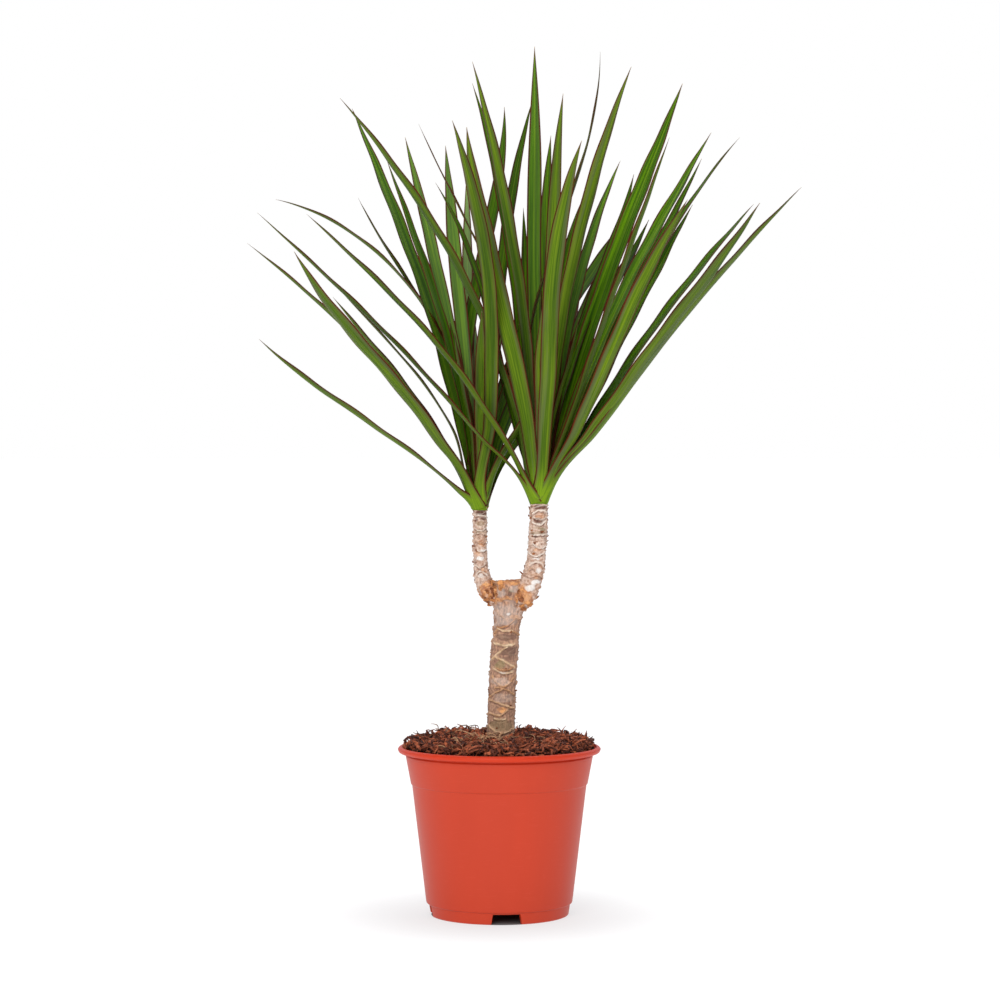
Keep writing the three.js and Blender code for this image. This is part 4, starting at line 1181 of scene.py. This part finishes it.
# The bark's soft noises: mm to a cell up the limb, what is added to the limb's seed, and cells round it.
BARK_NOISES = {
    "ragged": (1.7, 9, 14), "wander": (1.4, 12, 24), "strength": (6, 3, 6), "doubled": (8, 4, 5),
    "lumps": (3.2, 5, 9), "small lumps": (1.1, 6, 26), "fissures": (4.5, 8, 60),
    "papery": (3.4, 10, 7),
}
# How far each feature of the bark stands out or sinks in: the first six as shares of the relief that is
# set, the last three in mm.
RELIEF = {"line": 1.15, "swell": 0.35, "beside": 0.3, "under": 0.6, "lumps": 0.9, "fissures": 0.25,
          "rust": 1.1, "scar": 0.35, "paper": 0.25}
BURIED = (98, 104)  # the relief fades out between these heights, down inside the mix
DARKER_BELOW = (106, 124)  # and the bark is darker under these


def bark_noise(kind, turn, height, seed):
    """One of the bark's soft noises at each point, from 0 to 1."""
    cell, own, cells = BARK_NOISES[kind]
    return soft_noise(turn, height / cell, seed + own, cells)


def scar_net(turn, height, pitch, turns, seed):
    """Two crossing sets of scar lines. Each set climbs `turns` pitches in one turn round the limb,
    one to the left and one to the right, and soft noise bends them. Returns the distance from the
    nearest line in mm, and a random number for each panel between the lines."""
    distance, number = [], []
    for way in (1, -1):
        bend = soft_noise(turn, height / pitch, seed + way, 3 + turns) - 0.5
        ripple = soft_noise(turn, height / pitch * 2.7, seed + 7 + way, 11) - 0.5
        phase = height / pitch + bend + 0.22 * ripple + way * turns * turn
        distance.append(np.abs((phase + 0.5) % 1 - 0.5) * pitch)
        number.append(np.floor(phase + 0.5).astype(int))
    table = np.random.default_rng(seed).random((PANEL_ROWS, 2 * turns))
    panel = table[(number[0] + number[1]) % PANEL_ROWS, (number[0] - number[1]) % (2 * turns)]
    return np.minimum(*distance), panel


def net_lines(turn, height, pitch, bark, seed):
    """The net of raised lines all round a limb: each line is a bell curve of the distance from it,
    stronger and weaker by soft noise, and in places a second, closer net doubles it. Returns its
    strength, the distance from the first net's lines and each panel's random number."""
    distance, panel = scar_net(turn, height, pitch, bark["turns"], seed)
    second, _ = scar_net(turn, height + 40, pitch * 0.8, 1, seed + 40)
    strength = np.clip(1.7 * bark_noise("strength", turn, height, seed) - 0.1, 0.15, 1)
    doubled = np.clip(2.4 * bark_noise("doubled", turn, height, seed) - 1.2, 0, 0.8)
    width = LINE_WIDTH * bark["line"]
    net = np.maximum(np.exp(-(distance / width)**2) * strength,
                     np.exp(-(second / (0.8 * width))**2) * doubled)
    return net, distance, panel


def drawn_lines(name, across, up):
    """How strong the limb's drawn scar lines are at each point, and how pale. Each line is the
    parabola through its three points, and fades out at its ends."""
    bark = OLD_BARK if name == "main" else YOUNG_BARK
    strength, pale = np.zeros_like(across), np.full_like(across, bark["pale"])
    for x0, z0, x1, z1, x2, z2, width, tone in SCARS[name]:
        bend = np.polyfit([x0, x1, x2], [z0, z1, z2], 2)
        slope = np.polyval(np.polyder(bend), across)
        away = np.abs(up - np.polyval(bend, across)) / np.hypot(1, slope)
        ends = (smooth_step(across, x0 - 0.6, x0 + 0.6)
                * (1 - smooth_step(across, x2 - 0.6, x2 + 0.6)))
        line = np.exp(-(away / width) ** 2) * ends
        pale = np.where(line > strength, tone, pale)
        strength = np.maximum(strength, line)
    return strength, pale


def drawn_patches(name, kind, across, up, ragged):
    """How far each point belongs to the limb's patches of that kind: ellipses with ragged edges."""
    inside = np.zeros_like(across)
    for x, z, wide, high, strength in PATCHES[name].get(kind, ()):
        away = np.hypot((across - x) / wide, (up - z) / high) + 0.7 * (ragged - 0.5)
        inside = np.maximum(inside, strength * (1 - smooth_step(away, 0.75, 1.15)))
    return inside


def limb_frame(stations, rows):
    """Midline, radius and the two cross directions of a limb at each row."""
    table = smooth_stations(stations, rows)
    middle, radius = table[:, :3], table[:, 3]
    along = unit(np.gradient(middle, axis=0))
    side = unit(np.array([1.0, 0, 0]) - along * along[:, :1])
    return middle, radius, side, np.cross(along, side)


def limb_rings(name, slack, angle):
    """Midline and radius at each row of a limb, and the way out at each row and angle. The main cane
    ends in the rings that close its old cut."""
    stations = CANE[name]
    rows = int(abs(stations[-1][2] - stations[0][2]) * slack / ROW_PITCH)
    middle, radius, side, back = limb_frame(stations, rows)
    if name == "main":
        share, rise = np.array(CUT_FACE).T
        middle = np.concatenate([middle, middle[-1] + np.outer(rise, UP)])
        radius = np.concatenate([radius, radius[-1] * share])
        side = np.concatenate([side, np.repeat(side[-1:], len(CUT_FACE), 0)])
        back = np.concatenate([back, np.repeat(back[-1:], len(CUT_FACE), 0)])
    outward = side[:, None] * np.cos(angle)[:, None] + back[:, None] * np.sin(angle)[:, None]
    return middle, radius, outward


def rust_cover(name, across, height, front, ragged, drawn):
    """How much rusty scale covers each point: on the shoulders under the fork, away from the drawn
    front; over the face of the old cut; and on the drawn patches. Its edges are ragged."""
    shoulder = (smooth_step(height, FORK["low"], FORK["low"] + 6)
                * (1 - smooth_step(height, FORK["high"], FORK["high"] + 7))
                * smooth_step(np.abs(across - FORK["across"]), 4.0, 8.5))
    rust = np.clip(shoulder * (0.45 + 1.1 * ragged) * (1 - front), 0, 1)
    if name == "main":
        rust = np.maximum(rust, smooth_step(height, *CUT_HEIGHT) * (0.25 + 0.9 * ragged))
    return np.clip(np.maximum(rust, drawn * (0.55 + 0.9 * ragged)), 0, 1)


def limb_body(name, settings):
    """One limb as rings round its midline, moved out by its relief, and the numbers that its finish
    reads: ridge on the scar lines and how pale they are, tone where a panel is dark, on dark patches,
    lower down and as painted shadow under the drawn scar lines, paper on white patches, rust on the cut
    and the shoulders, scar and olive on their patches, and young on the branches. The front has the drawn
    lines and patches, and further round the net takes over."""
    old = name == "main"
    bark = OLD_BARK if old else YOUNG_BARK
    pitch = (settings.scar_pitch if old else settings.ring_pitch) / MM
    seed = SEEDS["bark"] + len(name) * 3
    angle = np.linspace(0, 2 * np.pi, LIMB_SIDES[name], endpoint=False)
    middle, radius, outward = limb_rings(name, bark["slack"], angle)
    turn = angle / (2 * np.pi)
    height = np.repeat(middle[:, 2:], len(angle), 1)

    ragged = bark_noise("ragged", turn, height, seed)
    wander = 0.9 * (bark_noise("wander", turn, height, seed) - 0.5)
    front = smooth_step(-outward[..., 1], 0.0, 0.3)
    spot = middle[:, None] + radius[:, None, None] * outward
    across, up = spot[..., 0], spot[..., 2] + wander
    drawn, pale = drawn_lines(name, across, up)
    # The drawn lines 1 mm higher give the band under each line, sunk in and painted as shadow.
    under, _ = drawn_lines(name, across, up + 1.0)
    patch = {kind: front * drawn_patches(name, kind, across, up, ragged) for kind in KINDS}
    rust = rust_cover(name, across, height, front, ragged, patch["rust"])

    net, distance, panel = net_lines(turn, height, pitch, bark, seed)
    line = np.maximum(net * (1 - bark["fade"] * front), drawn * front)
    beside = RELIEF["beside"] * np.exp(-((distance - 1.0) / 0.5)**2) * (1 - 0.7 * front)
    groove = np.maximum(beside, RELIEF["under"] * under * front)
    swell = RELIEF["swell"] * smooth_step(distance, 0.6, pitch / 2) * (1 - 0.6 * front)
    lumps = (bark_noise("lumps", turn, height, seed)
             + 0.5 * bark_noise("small lumps", turn, height, seed) - 0.75)
    fissures = bark_noise("fissures", turn, height, seed)
    bury = smooth_step(height, *BURIED) if old else 1
    shape = (line * RELIEF["line"] + swell - groove + RELIEF["lumps"] * lumps
             - RELIEF["fissures"] * fissures)
    raised = (bury * (settings.relief / MM) * shape + rust * (ragged - 0.4) * RELIEF["rust"]
              - RELIEF["scar"] * patch["scar"] + RELIEF["paper"] * patch["paper"])

    spots = smooth_step(bark_noise("papery", turn, height, seed), 0.68, 0.76)
    paper = np.maximum(spots * (1 - rust) * bark["papery"] * (1 - front), patch["paper"])
    dark = np.clip(panel * 1.2 - 0.35, 0, 0.85) * smooth_step(distance, 0.3, 1.1)
    # Painted shadow: a dark band just under each drawn scar line on the front.
    shade = 0.75 * under * (1 - drawn) * front
    dark = np.maximum(dark * (1 - 0.45 * front), np.maximum(patch["dark"], shade))
    rings = middle[:, None] + (radius[:, None] + raised)[..., None] * outward
    if old:
        # Darker towards the bottom of the cane.
        dark = np.maximum(dark, 0.4 * (1 - smooth_step(height, *DARKER_BELOW)))
        rings[..., 2] += 1.8 * smooth_step(height, *CUT_FACE_HEIGHT) * (ragged - 0.5)
    points, faces = fan_closed(rings)
    numbers = {"ridge": line * bury * (1 - 0.6 * rust), "pale": pale * front + 0.3 * (1 - front),
               "tone": dark, "paper": paper, "rust": rust, "scar": patch["scar"],
               "olive": patch["olive"], "young": np.full(height.shape, float(not old))}
    ends = {key: np.concatenate([value.ravel(), value[0, :1], value[-1, :1]])
            for key, value in numbers.items()}
    return points, faces, ends


class TREE_OT_cane(bpy.types.Operator):
    """Build the cane, its old cut and its two branches"""

    bl_idname = "tree.cane"
    bl_label = "Cane"

    def execute(self, context):
        settings = context.scene.tree_cane
        points, faces, values = joined([limb_body(name, settings) for name in CANE])
        mesh = new_mesh("cane_bark", points, faces, values)
        new_piece(mesh, bark_finish(settings), ["trunk"], crease=60)
        return {"FINISHED"}


SCALE_ROWS = 400
# Where scales sit on each limb, in bands: how many, the shares of the limb's length between which they
# stand, their size, and whether they keep to its left and right sides, where they show as its outline.
SCALES = {"main": [(60, 0.9, 0.99, 0.95, True), (26, 0.14, 0.9, 0.45, True)],
          "left": [(20, 0.04, 0.2, 0.8, False), (26, 0.3, 0.98, 0.4, True)],
          "right": [(20, 0.04, 0.2, 0.85, False), (28, 0.3, 0.98, 0.42, True)]}


class TREE_OT_bark_scales(bpy.types.Operator):
    """Add the ragged papery scales on the fork's shoulders and the small ones up the limbs"""

    bl_idname = "tree.bark_scales"
    bl_label = "Bark scales"

    def execute(self, context):
        draw = np.random.default_rng(SEEDS["scales"])
        origins, outs, ups, sizes = [], [], [], []
        for name, bands in SCALES.items():
            for count, low, high, size, sided in bands:
                middle, radius, side, back = limb_frame(CANE[name], SCALE_ROWS)
                last = SCALE_ROWS - 1
                row = draw.integers(int(low * last), int(high * last), count)
                angle = draw.uniform(0, 2 * np.pi, count)
                if sided:
                    angle = draw.normal(0, 0.75, count) + np.pi * draw.integers(0, 2, count)
                away = side[row] * np.cos(angle)[:, None] + back[row] * np.sin(angle)[:, None]
                origins.append(middle[row] + away * (radius[row] - 0.15)[:, None])
                outs.append(away)
                ups.append(np.cross(side[row], back[row]))
                sizes.append(np.full(count, size))
        origin, out, up, size = map(np.concatenate, (origins, outs, ups, sizes))
        count = len(origin)
        slant = draw.normal(0, 0.7, count)[:, None]
        heading = unit(up * np.cos(slant) + np.cross(out, up) * np.sin(slant)
                       + out * draw.uniform(0.1, 0.45, (count, 1)))
        length = size * draw.uniform(2.2, 5.2, count)
        width = size * draw.uniform(1.8, 4.4, count)
        # One more strip is the spike that stands out of the right branch's foot.
        heading = np.concatenate([heading, unit(np.array([SPIKE["to"]]))])
        origin = np.concatenate([origin, [SPIKE["at"]]])
        out = np.concatenate([out, [TOWARDS_VIEW]])
        length = np.append(length, SPIKE["length"])
        width = np.append(width, SPIKE["width"])
        count += 1
        rings = strips(origin, heading, out, length, width, np.full(count, 0.28),
                       draw.normal(0.1, 0.5, count), draw.uniform(0.0, 0.5, count),
                       np.zeros(count), draw.normal(0, 0.3, count), (0.7, 1.0, 0.95, 0.7, 0.3))
        tone = draw.beta(1.7, 1.5, count) * np.append(np.where(size > 0.5, 1.0, 0.35), 1)
        tone[-1] = SPIKE["tone"]
        finish = husk_finish("scale_finish", BARK_TONES["scale"], BARK_TONES["dark scale"], 700.0,
                             0.8)
        new_piece(strip_mesh("bark_scales", rings, tone), finish)
        return {"FINISHED"}


# ------------------------------------------------------------------ leaf heads

LEAF_ROWS = 60
LEAF_COLUMNS = 12
STEM_SIDES = 48
STEM_TONE = -0.2
WAVE = {"margin": 0.35, "pitch": 41.0, "sway": 0.5, "swings": 2.2}
# The waist at a leaf's base, the share of its length that the tip takes and its least width as a share;
# the half width that the channel's curl is worked out for at the tip; and the half width under which
# the red margin gets narrower with the blade.
BLADE = {"waist": 0.44, "waist_run": 45, "tip": 0.34, "least": 0.035, "least_curled": 0.8,
         "narrow": 3.2}


def measured_marks(side):
    """Three points in space of each measured leaf's midline. The marks of the front view are carried
    back along the line of sight, by a depth that grows as a power of the way along the leaf."""
    head = HEADS[side]
    table = np.array(LEAVES[side], float)
    marks = table[:, :6].reshape(-1, 3, 2)
    depth, late, width, twist, tone = table[:, 6:].T
    foot = [head["across"], head["foot"] + ROOT["measured_rise"]]
    start = np.broadcast_to(foot, (len(marks), 1, 2))
    spans = np.linalg.norm(np.diff(np.concatenate([start, marks], 1), axis=1), axis=2)
    share = np.cumsum(spans, 1) / spans.sum(1, keepdims=True)
    back = head["depth"] + (depth - head["depth"])[:, None] * share ** late[:, None]
    stretch = (VIEW["distance"] + back) / VIEW["distance"]
    up = VIEW["height"] + (marks[..., 1] - VIEW["height"]) * stretch
    return np.stack([marks[..., 0] * stretch, back, up], -1), width, twist, tone


def ruled_marks(side, sector, shape):
    """Three points of each leaf that stands by a rule: spread over a sector, arching out a little
    more towards the tip, with leans and lengths varied by the golden share."""
    head = HEADS[side]
    count, start, end = sector
    index = np.arange(count)
    golden = (index * GOLDEN_SHARE) % 1
    angle = np.radians(start + (end - start) * (index + 0.5) / count)[:, None]
    lean = np.radians(shape["lean"] + shape["spread"] * (golden - 0.5))[:, None]
    length = (shape["length"] * (0.85 + 0.25 * golden))[:, None]
    share = np.array([[0.36, 0.7, 1.0]])
    bend = lean * (0.82 + 0.28 * share)
    out = length * share * np.sin(bend)
    points = np.stack([head["across"] + out * np.cos(angle), head["depth"] + out * np.sin(angle),
                       head["foot"] + ROOT["ruled_rise"] + length * share * np.cos(bend)], -1)
    zero = np.zeros(count)
    return points, zero + shape["width"], zero, 0.5 * (golden - 0.5)


def through_points(points, share):
    """For each leaf, the one cubic through its four points, spaced by the lengths between them."""
    spans = np.linalg.norm(np.diff(points, axis=1), axis=2)
    knots = np.concatenate([np.zeros((len(points), 1)), np.cumsum(spans, 1)], 1)
    knots = knots / knots[:, -1:]
    curve = np.zeros((len(points), len(share), 3))
    for i in range(4):
        weight = np.ones((len(points), len(share)))
        for j in range(4):
            if i != j:
                weight *= (share - knots[:, j:j + 1]) / (knots[:, i:i + 1] - knots[:, j:j + 1])
        curve += weight[..., None] * points[:, i:i + 1]
    return curve


def blade_width(share, run):
    """Share of a leaf's full width, from the share of its length and the run in mm: a bell-shaped
    waist over the base, and a quarter of a sine wave down to the fine tip, over the last third."""
    tip = np.sin(np.pi / 2 * np.minimum(1, (1 - share) / BLADE["tip"])) ** 0.95
    waist = 1 - BLADE["waist"] * np.exp(-(run / BLADE["waist_run"]) ** 2)
    return np.maximum(tip * waist, BLADE["least"])


def head_leaves(side):
    """All leaves of one head: three points on each midline, and its width, twist and lightness."""
    groups = [measured_marks(side), ruled_marks(side, REAR[side], REAR_LEAF),
              ruled_marks(side, YOUNG, YOUNG_LEAF)]
    return [np.concatenate(part) for part in zip(*groups)]


def leaf_midlines(head, points, share):
    """Where the midlines run, at those shares of their lengths. Each starts on the stem, higher and
    further in the more upright the leaf is, heads straight out of its sheath, and passes by an
    S-curve into the cubic through its points. Returns the midlines, each leaf's level way out, the
    run in mm and how free of the sheath it is at each share, and the stem's radius at the start."""
    centre = np.array([head["across"], head["depth"], head["foot"]])
    reach = points[:, 2] - centre
    out = unit(reach * [1, 1, 0])
    lean = np.degrees(np.arctan2(np.hypot(reach[:, 0], reach[:, 1]), reach[:, 2]))[:, None]
    inner = np.clip(1 - lean / ROOT["full_lean"], 0, 1)
    low = smooth_step(lean, *ROOT["low_leans"])
    hug = head["radius"] - ROOT["step_in"] * inner
    root = centre + out * hug + UP * (ROOT["climb"] * inner + ROOT["low_climb"] * low)

    curve = through_points(np.concatenate([root[:, None], points], 1), share)
    run = share * np.linalg.norm(np.diff(curve, axis=1), axis=2).sum(1)[:, None]
    start_lean = np.radians(np.minimum(SHEATH["lean"], SHEATH["share"] * lean)
                            + SHEATH["low_lean"] * low)
    heading = out * np.sin(start_lean) + UP * np.cos(start_lean)
    free = smooth_step(run / (SHEATH["length"] - SHEATH["shorter"] * low))[..., None]
    middle = (root[:, None] + heading[:, None] * run[..., None]) * (1 - free) + curve * free
    return middle, out, run, free, hug


def blade_axes(middle, out, turn):
    """The two directions across each midline: one from margin to margin, level but for its turn, and
    one towards the blade's upper face."""
    along = unit(np.gradient(middle, axis=1))
    across = np.stack([-out[:, 1], out[:, 0], np.zeros(len(out))], -1)[:, None]
    across = unit(across - along * (across * along).sum(-1, keepdims=True))
    across = across * np.cos(turn) + np.cross(along, across) * np.sin(turn)
    return across, np.cross(along, across)


def blade_section(blade, run, hug, channel):
    """Half the leaf's width at each row, and its section's curl as one over its radius: at the base
    it wraps the stem, and then it opens to the blade's own width and shallow channel."""
    grip = np.exp(-(run / GRIP["width"]) ** GRIP["power"])
    half = blade * (1 - grip) + grip * hug * GRIP["half_turn"]
    flat = 4 * channel / np.maximum(blade, BLADE["least_curled"])
    hold = np.exp(-(run / GRIP["curl"]) ** GRIP["power"])
    return half, flat * (1 - hold) + hold / hug


def leaf_attributes(u, share, half, tone, seed):
    """What the leaf's skin reads at each point of its rings, which run along the lower face and back
    along the upper one: the distance from the margin in metres, 1 on the lower face, the leaf's
    lightness and its random number; and the UV places, across and along."""
    def round_ring(values):
        return np.concatenate([values, values[..., ::-1]], -1).ravel()

    shape = (len(tone), LEAF_ROWS, LEAF_COLUMNS + 1)
    uv = np.stack([round_ring(np.broadcast_to((u + 1) / 2, shape)),
                   round_ring(np.broadcast_to(share[:, None], shape))], -1)
    lower = np.repeat([1.0, 0.0], LEAF_COLUMNS + 1)
    narrow = np.minimum(1, (half / BLADE["narrow"]) ** 0.8)[..., None]
    each = LEAF_ROWS * len(lower)
    values = {"edge": round_ring(half[..., None] * (1 - np.abs(u)) / narrow) * MM,
              "underside": np.tile(lower, len(tone) * LEAF_ROWS),
              "tone": np.repeat(tone, each), "seed": np.repeat(seed, each)}
    return values, uv


def leaf_bodies(side, settings):
    """All leaves of one head as rings along their midlines. Each section is an arc of the curl at
    that row, with a thin body between its two faces, fine sine waves along its margins and a slight
    sway. The blade sinks under its measured line, which lay over the margins."""
    head = HEADS[side]
    points, width, twist, tone = head_leaves(side)
    count = len(points)
    draw = np.random.default_rng(SEEDS["leaves"] + len(side))
    seed = draw.random(count)
    phase = draw.uniform(0, 2 * np.pi, (2, count, 1))

    even = np.linspace(0, 1, LEAF_ROWS)
    share = 0.55 * even + 0.45 * (1 - np.cos(np.pi * even)) / 2
    middle, out, run, free, hug = leaf_midlines(head, points, share)
    turn = np.radians(twist + 10 * (seed - 0.5))[:, None] * smooth_step(share, 0.02, 0.5)
    across, face = blade_axes(middle, out, turn[..., None])
    swing = np.sin(2 * np.pi * share * WAVE["swings"] + phase[0])
    sway = WAVE["sway"] * swing * free[..., 0] * (1 - share)
    middle = (middle + across * sway[..., None])[:, :, None]
    across, face = across[:, :, None], face[:, :, None]

    blade = width[:, None] / 2 * blade_width(share, run)
    half, curl = blade_section(blade, run, hug, settings.channel)
    curl = curl[..., None]
    u = -np.cos(np.pi * np.arange(LEAF_COLUMNS + 1) / LEAF_COLUMNS)
    bow = u * half[..., None] * curl
    ripple = np.sin(2 * np.pi * run / WAVE["pitch"] + phase[1])[..., None]
    wave = WAVE["margin"] * ripple * u ** 2 * free * np.minimum(1, blade / 4)[..., None]
    rise = (1 - np.cos(bow)) / curl + wave
    lowered = settings.drop * 2 * blade * smooth_step(run / GRIP["settle"])
    surface = (middle + across * (np.sin(bow) / curl)[..., None]
               + face * (rise - lowered[..., None])[..., None])

    normal = face * np.cos(bow)[..., None] - across * np.sin(bow)[..., None]
    thin = (0.55 + 0.45 * (1 - u ** 2)) * np.minimum(1, (1.02 - share) / 0.1)[:, None]
    step = normal * (settings.thickness / MM * thin / 2)[None, ..., None]
    rings = np.concatenate([surface - step, (surface + step)[:, :, ::-1]], 2)
    values, uv = leaf_attributes(u, share, half, tone, seed)
    sides = 2 * (LEAF_COLUMNS + 1)
    faces = repeated(strip_closed(LEAF_ROWS, sides), count, LEAF_ROWS * sides)
    return rings.reshape(-1, 3), [faces], values, uv


def stem_body(side):
    """The stem inside the sheaths: a cone round the head's axis, the colour of a leaf's base."""
    head = HEADS[side]
    profile = rounded([(0.02, -0.2, 0), (head["radius"] - 0.5, -0.2, 0.2),
                       (head["radius"] - 0.4, 6, 1), (2.2, 30, 2), (0.02, 40, 0)])
    angle = np.linspace(0, 2 * np.pi, STEM_SIDES, endpoint=False)
    radius, height = profile[:, :1], profile[:, 1:]
    rings = np.stack([head["across"] + radius * np.cos(angle), head["depth"] + radius * np.sin(angle),
                      head["foot"] + height + 0 * angle], -1)
    points, faces = fan_closed(rings)
    total = len(points)
    values = {"edge": np.full(total, 0.01), "underside": np.ones(total),
              "tone": np.full(total, STEM_TONE), "seed": np.zeros(total)}
    return points, faces, values, np.tile([0.5, 0.03], (total, 1))


class TREE_OT_leaf_heads(bpy.types.Operator):
    """Build both heads of sword leaves"""

    bl_idname = "tree.leaf_heads"
    bl_label = "Leaf heads"

    def execute(self, context):
        settings = context.scene.tree_leaves
        material = leaf_skin(settings)
        for side in HEADS:
            bodies = [leaf_bodies(side, settings), stem_body(side)]
            points, faces, values = joined([body[:3] for body in bodies])
            uv = np.concatenate([body[3] for body in bodies])
            mesh = new_mesh(f"{side}_leaves", points, faces, values, uv)
            new_piece(mesh, material, [f"{side}_crown"], crease=50)
        return {"FINISHED"}


# ------------------------------------------------------------------ stage

PICTURE_SIDE = 1000
SENSOR_WIDTH = 36.0
VANISHING = (499.3, 446.5)  # the pixel straight ahead of the camera
LIGHTS = {
    "key": {"place": Vector((-0.5, -2.0, 1.1)), "size": 1.3},
    "fill": {"place": Vector((1.6, -1.2, 1.0)), "size": 1.4},
    "top": {"place": Vector((0.1, 0.3, 2.0)), "size": 1.6},
}
AIM = Vector((0.0, 0.0, 0.28))  # the plant's middle, in metres, as are the lamps' places
FLOOR_REACH = 60.0
SIGHT = 200.0  # how far the camera sees, past the floor's ends


def studio_world():
    """White behind the object, dimmer from the camera's side, and plain white to the camera."""
    world = bpy.data.worlds.new("studio")
    world.use_nodes = True
    tree = world.node_tree
    tree.nodes.clear()
    direction = add(tree, "ShaderNodeSeparateXYZ",
                    {0: tree.nodes.new("ShaderNodeTexCoord").outputs["Generated"]})
    behind = ramped(tree, direction.outputs[1], -0.2, 0.9, 0.36, 1.0)
    overhead = ramped(tree, direction.outputs[2], -0.1, 0.9, 0.75, 1.25)
    strength = calculated(tree, "MULTIPLY", behind, overhead)
    lit = add(tree, "ShaderNodeBackground", {"Color": (0.95, 0.98, 1.06, 1), "Strength": strength})
    seen = add(tree, "ShaderNodeBackground", {"Color": (1, 1, 1, 1), "Strength": 1.0})
    ray = tree.nodes.new("ShaderNodeLightPath").outputs["Is Camera Ray"]
    both = add(tree, "ShaderNodeMixShader", {0: ray, 1: lit.outputs[0], 2: seen.outputs[0]})
    end = tree.nodes.new("ShaderNodeOutputWorld")
    tree.links.new(both.outputs[0], end.inputs[0])
    return world


def soft_light(name, power):
    """A square lamp turned towards the plant."""
    place = LIGHTS[name]["place"]
    lamp = bpy.data.lights.new(name, "AREA")
    lamp.energy = power
    lamp.size = LIGHTS[name]["size"]
    made = bpy.data.objects.new(f"{name}_light", lamp)
    made.location = place
    made.rotation_euler = (AIM - place).to_track_quat("-Z", "Y").to_euler()
    bpy.context.scene.collection.objects.link(made)


class TREE_OT_stage(bpy.types.Operator):
    """Set up the floor, the lights and the camera"""

    bl_idname = "tree.stage"
    bl_label = "Stage"

    def execute(self, context):
        scene = context.scene
        settings = scene.tree_stage
        square = ((-1, -1), (1, -1), (1, 1), (-1, 1))
        corners = [(x * FLOOR_REACH, y * FLOOR_REACH, 0) for x, y in square]
        floor_mesh = bpy.data.meshes.new("stage_floor")
        floor_mesh.from_pydata(corners, [], [(0, 1, 2, 3)])
        floor_mesh.materials.append(floor_finish(settings))
        floor = bpy.data.objects.new("stage_floor", floor_mesh)
        scene.collection.objects.link(floor)
        scene.world = studio_world()
        soft_light("key", settings.key_power)
        soft_light("fill", settings.fill_power)
        soft_light("top", settings.top_power)

        lens = bpy.data.cameras.new("camera")
        lens.lens = settings.lens
        lens.sensor_width = SENSOR_WIDTH
        lens.shift_x = 0.5 - VANISHING[0] / PICTURE_SIDE
        lens.shift_y = VANISHING[1] / PICTURE_SIDE - 0.5
        lens.clip_end = SIGHT
        camera = bpy.data.objects.new("camera", lens)
        camera.location = (POT_AXIS[0], POT_AXIS[1] - settings.camera_distance,
                           settings.camera_height)
        camera.rotation_euler = (math.radians(90), 0, 0)
        scene.collection.objects.link(camera)
        scene.camera = camera
        scene.view_settings.view_transform = "Standard"
        return {"FINISHED"}


# ------------------------------------------------------------------ panel

OPERATORS = (TREE_OT_pot, TREE_OT_potting_mix, TREE_OT_husk_chips, TREE_OT_root_fibres,
             TREE_OT_cane, TREE_OT_bark_scales, TREE_OT_leaf_heads, TREE_OT_stage)
SETTINGS = {"tree_pot": PotSettings, "tree_mix": MixSettings, "tree_cane": CaneSettings,
            "tree_leaves": LeafSettings, "tree_stage": StageSettings}


class TREE_PT_panel(bpy.types.Panel):
    """Lists the tree's settings and the buttons that build it"""

    bl_label = "Dragon tree"
    bl_idname = "TREE_PT_panel"
    bl_space_type = "VIEW_3D"
    bl_region_type = "UI"
    bl_category = "Dragon tree"

    def draw(self, context):
        for operator in OPERATORS:
            self.layout.operator(operator.bl_idname)
        for name, group in SETTINGS.items():
            box = self.layout.box()
            box.label(text=group.__doc__)
            for key in group.__annotations__:
                box.prop(getattr(context.scene, name), key)


def register():
    for group in SETTINGS.values():
        bpy.utils.register_class(group)
    for operator in OPERATORS:
        bpy.utils.register_class(operator)
    bpy.utils.register_class(TREE_PT_panel)
    for name, group in SETTINGS.items():
        setattr(bpy.types.Scene, name, PointerProperty(type=group))


def unregister():
    for name in SETTINGS:
        delattr(bpy.types.Scene, name)
    bpy.utils.unregister_class(TREE_PT_panel)
    for operator in reversed(OPERATORS):
        bpy.utils.unregister_class(operator)
    for group in SETTINGS.values():
        bpy.utils.unregister_class(group)


def main():
    register()
    for operator in OPERATORS:
        family, name = operator.bl_idname.split(".")
        getattr(getattr(bpy.ops, family), name)()


if __name__ == "__main__":
    main()
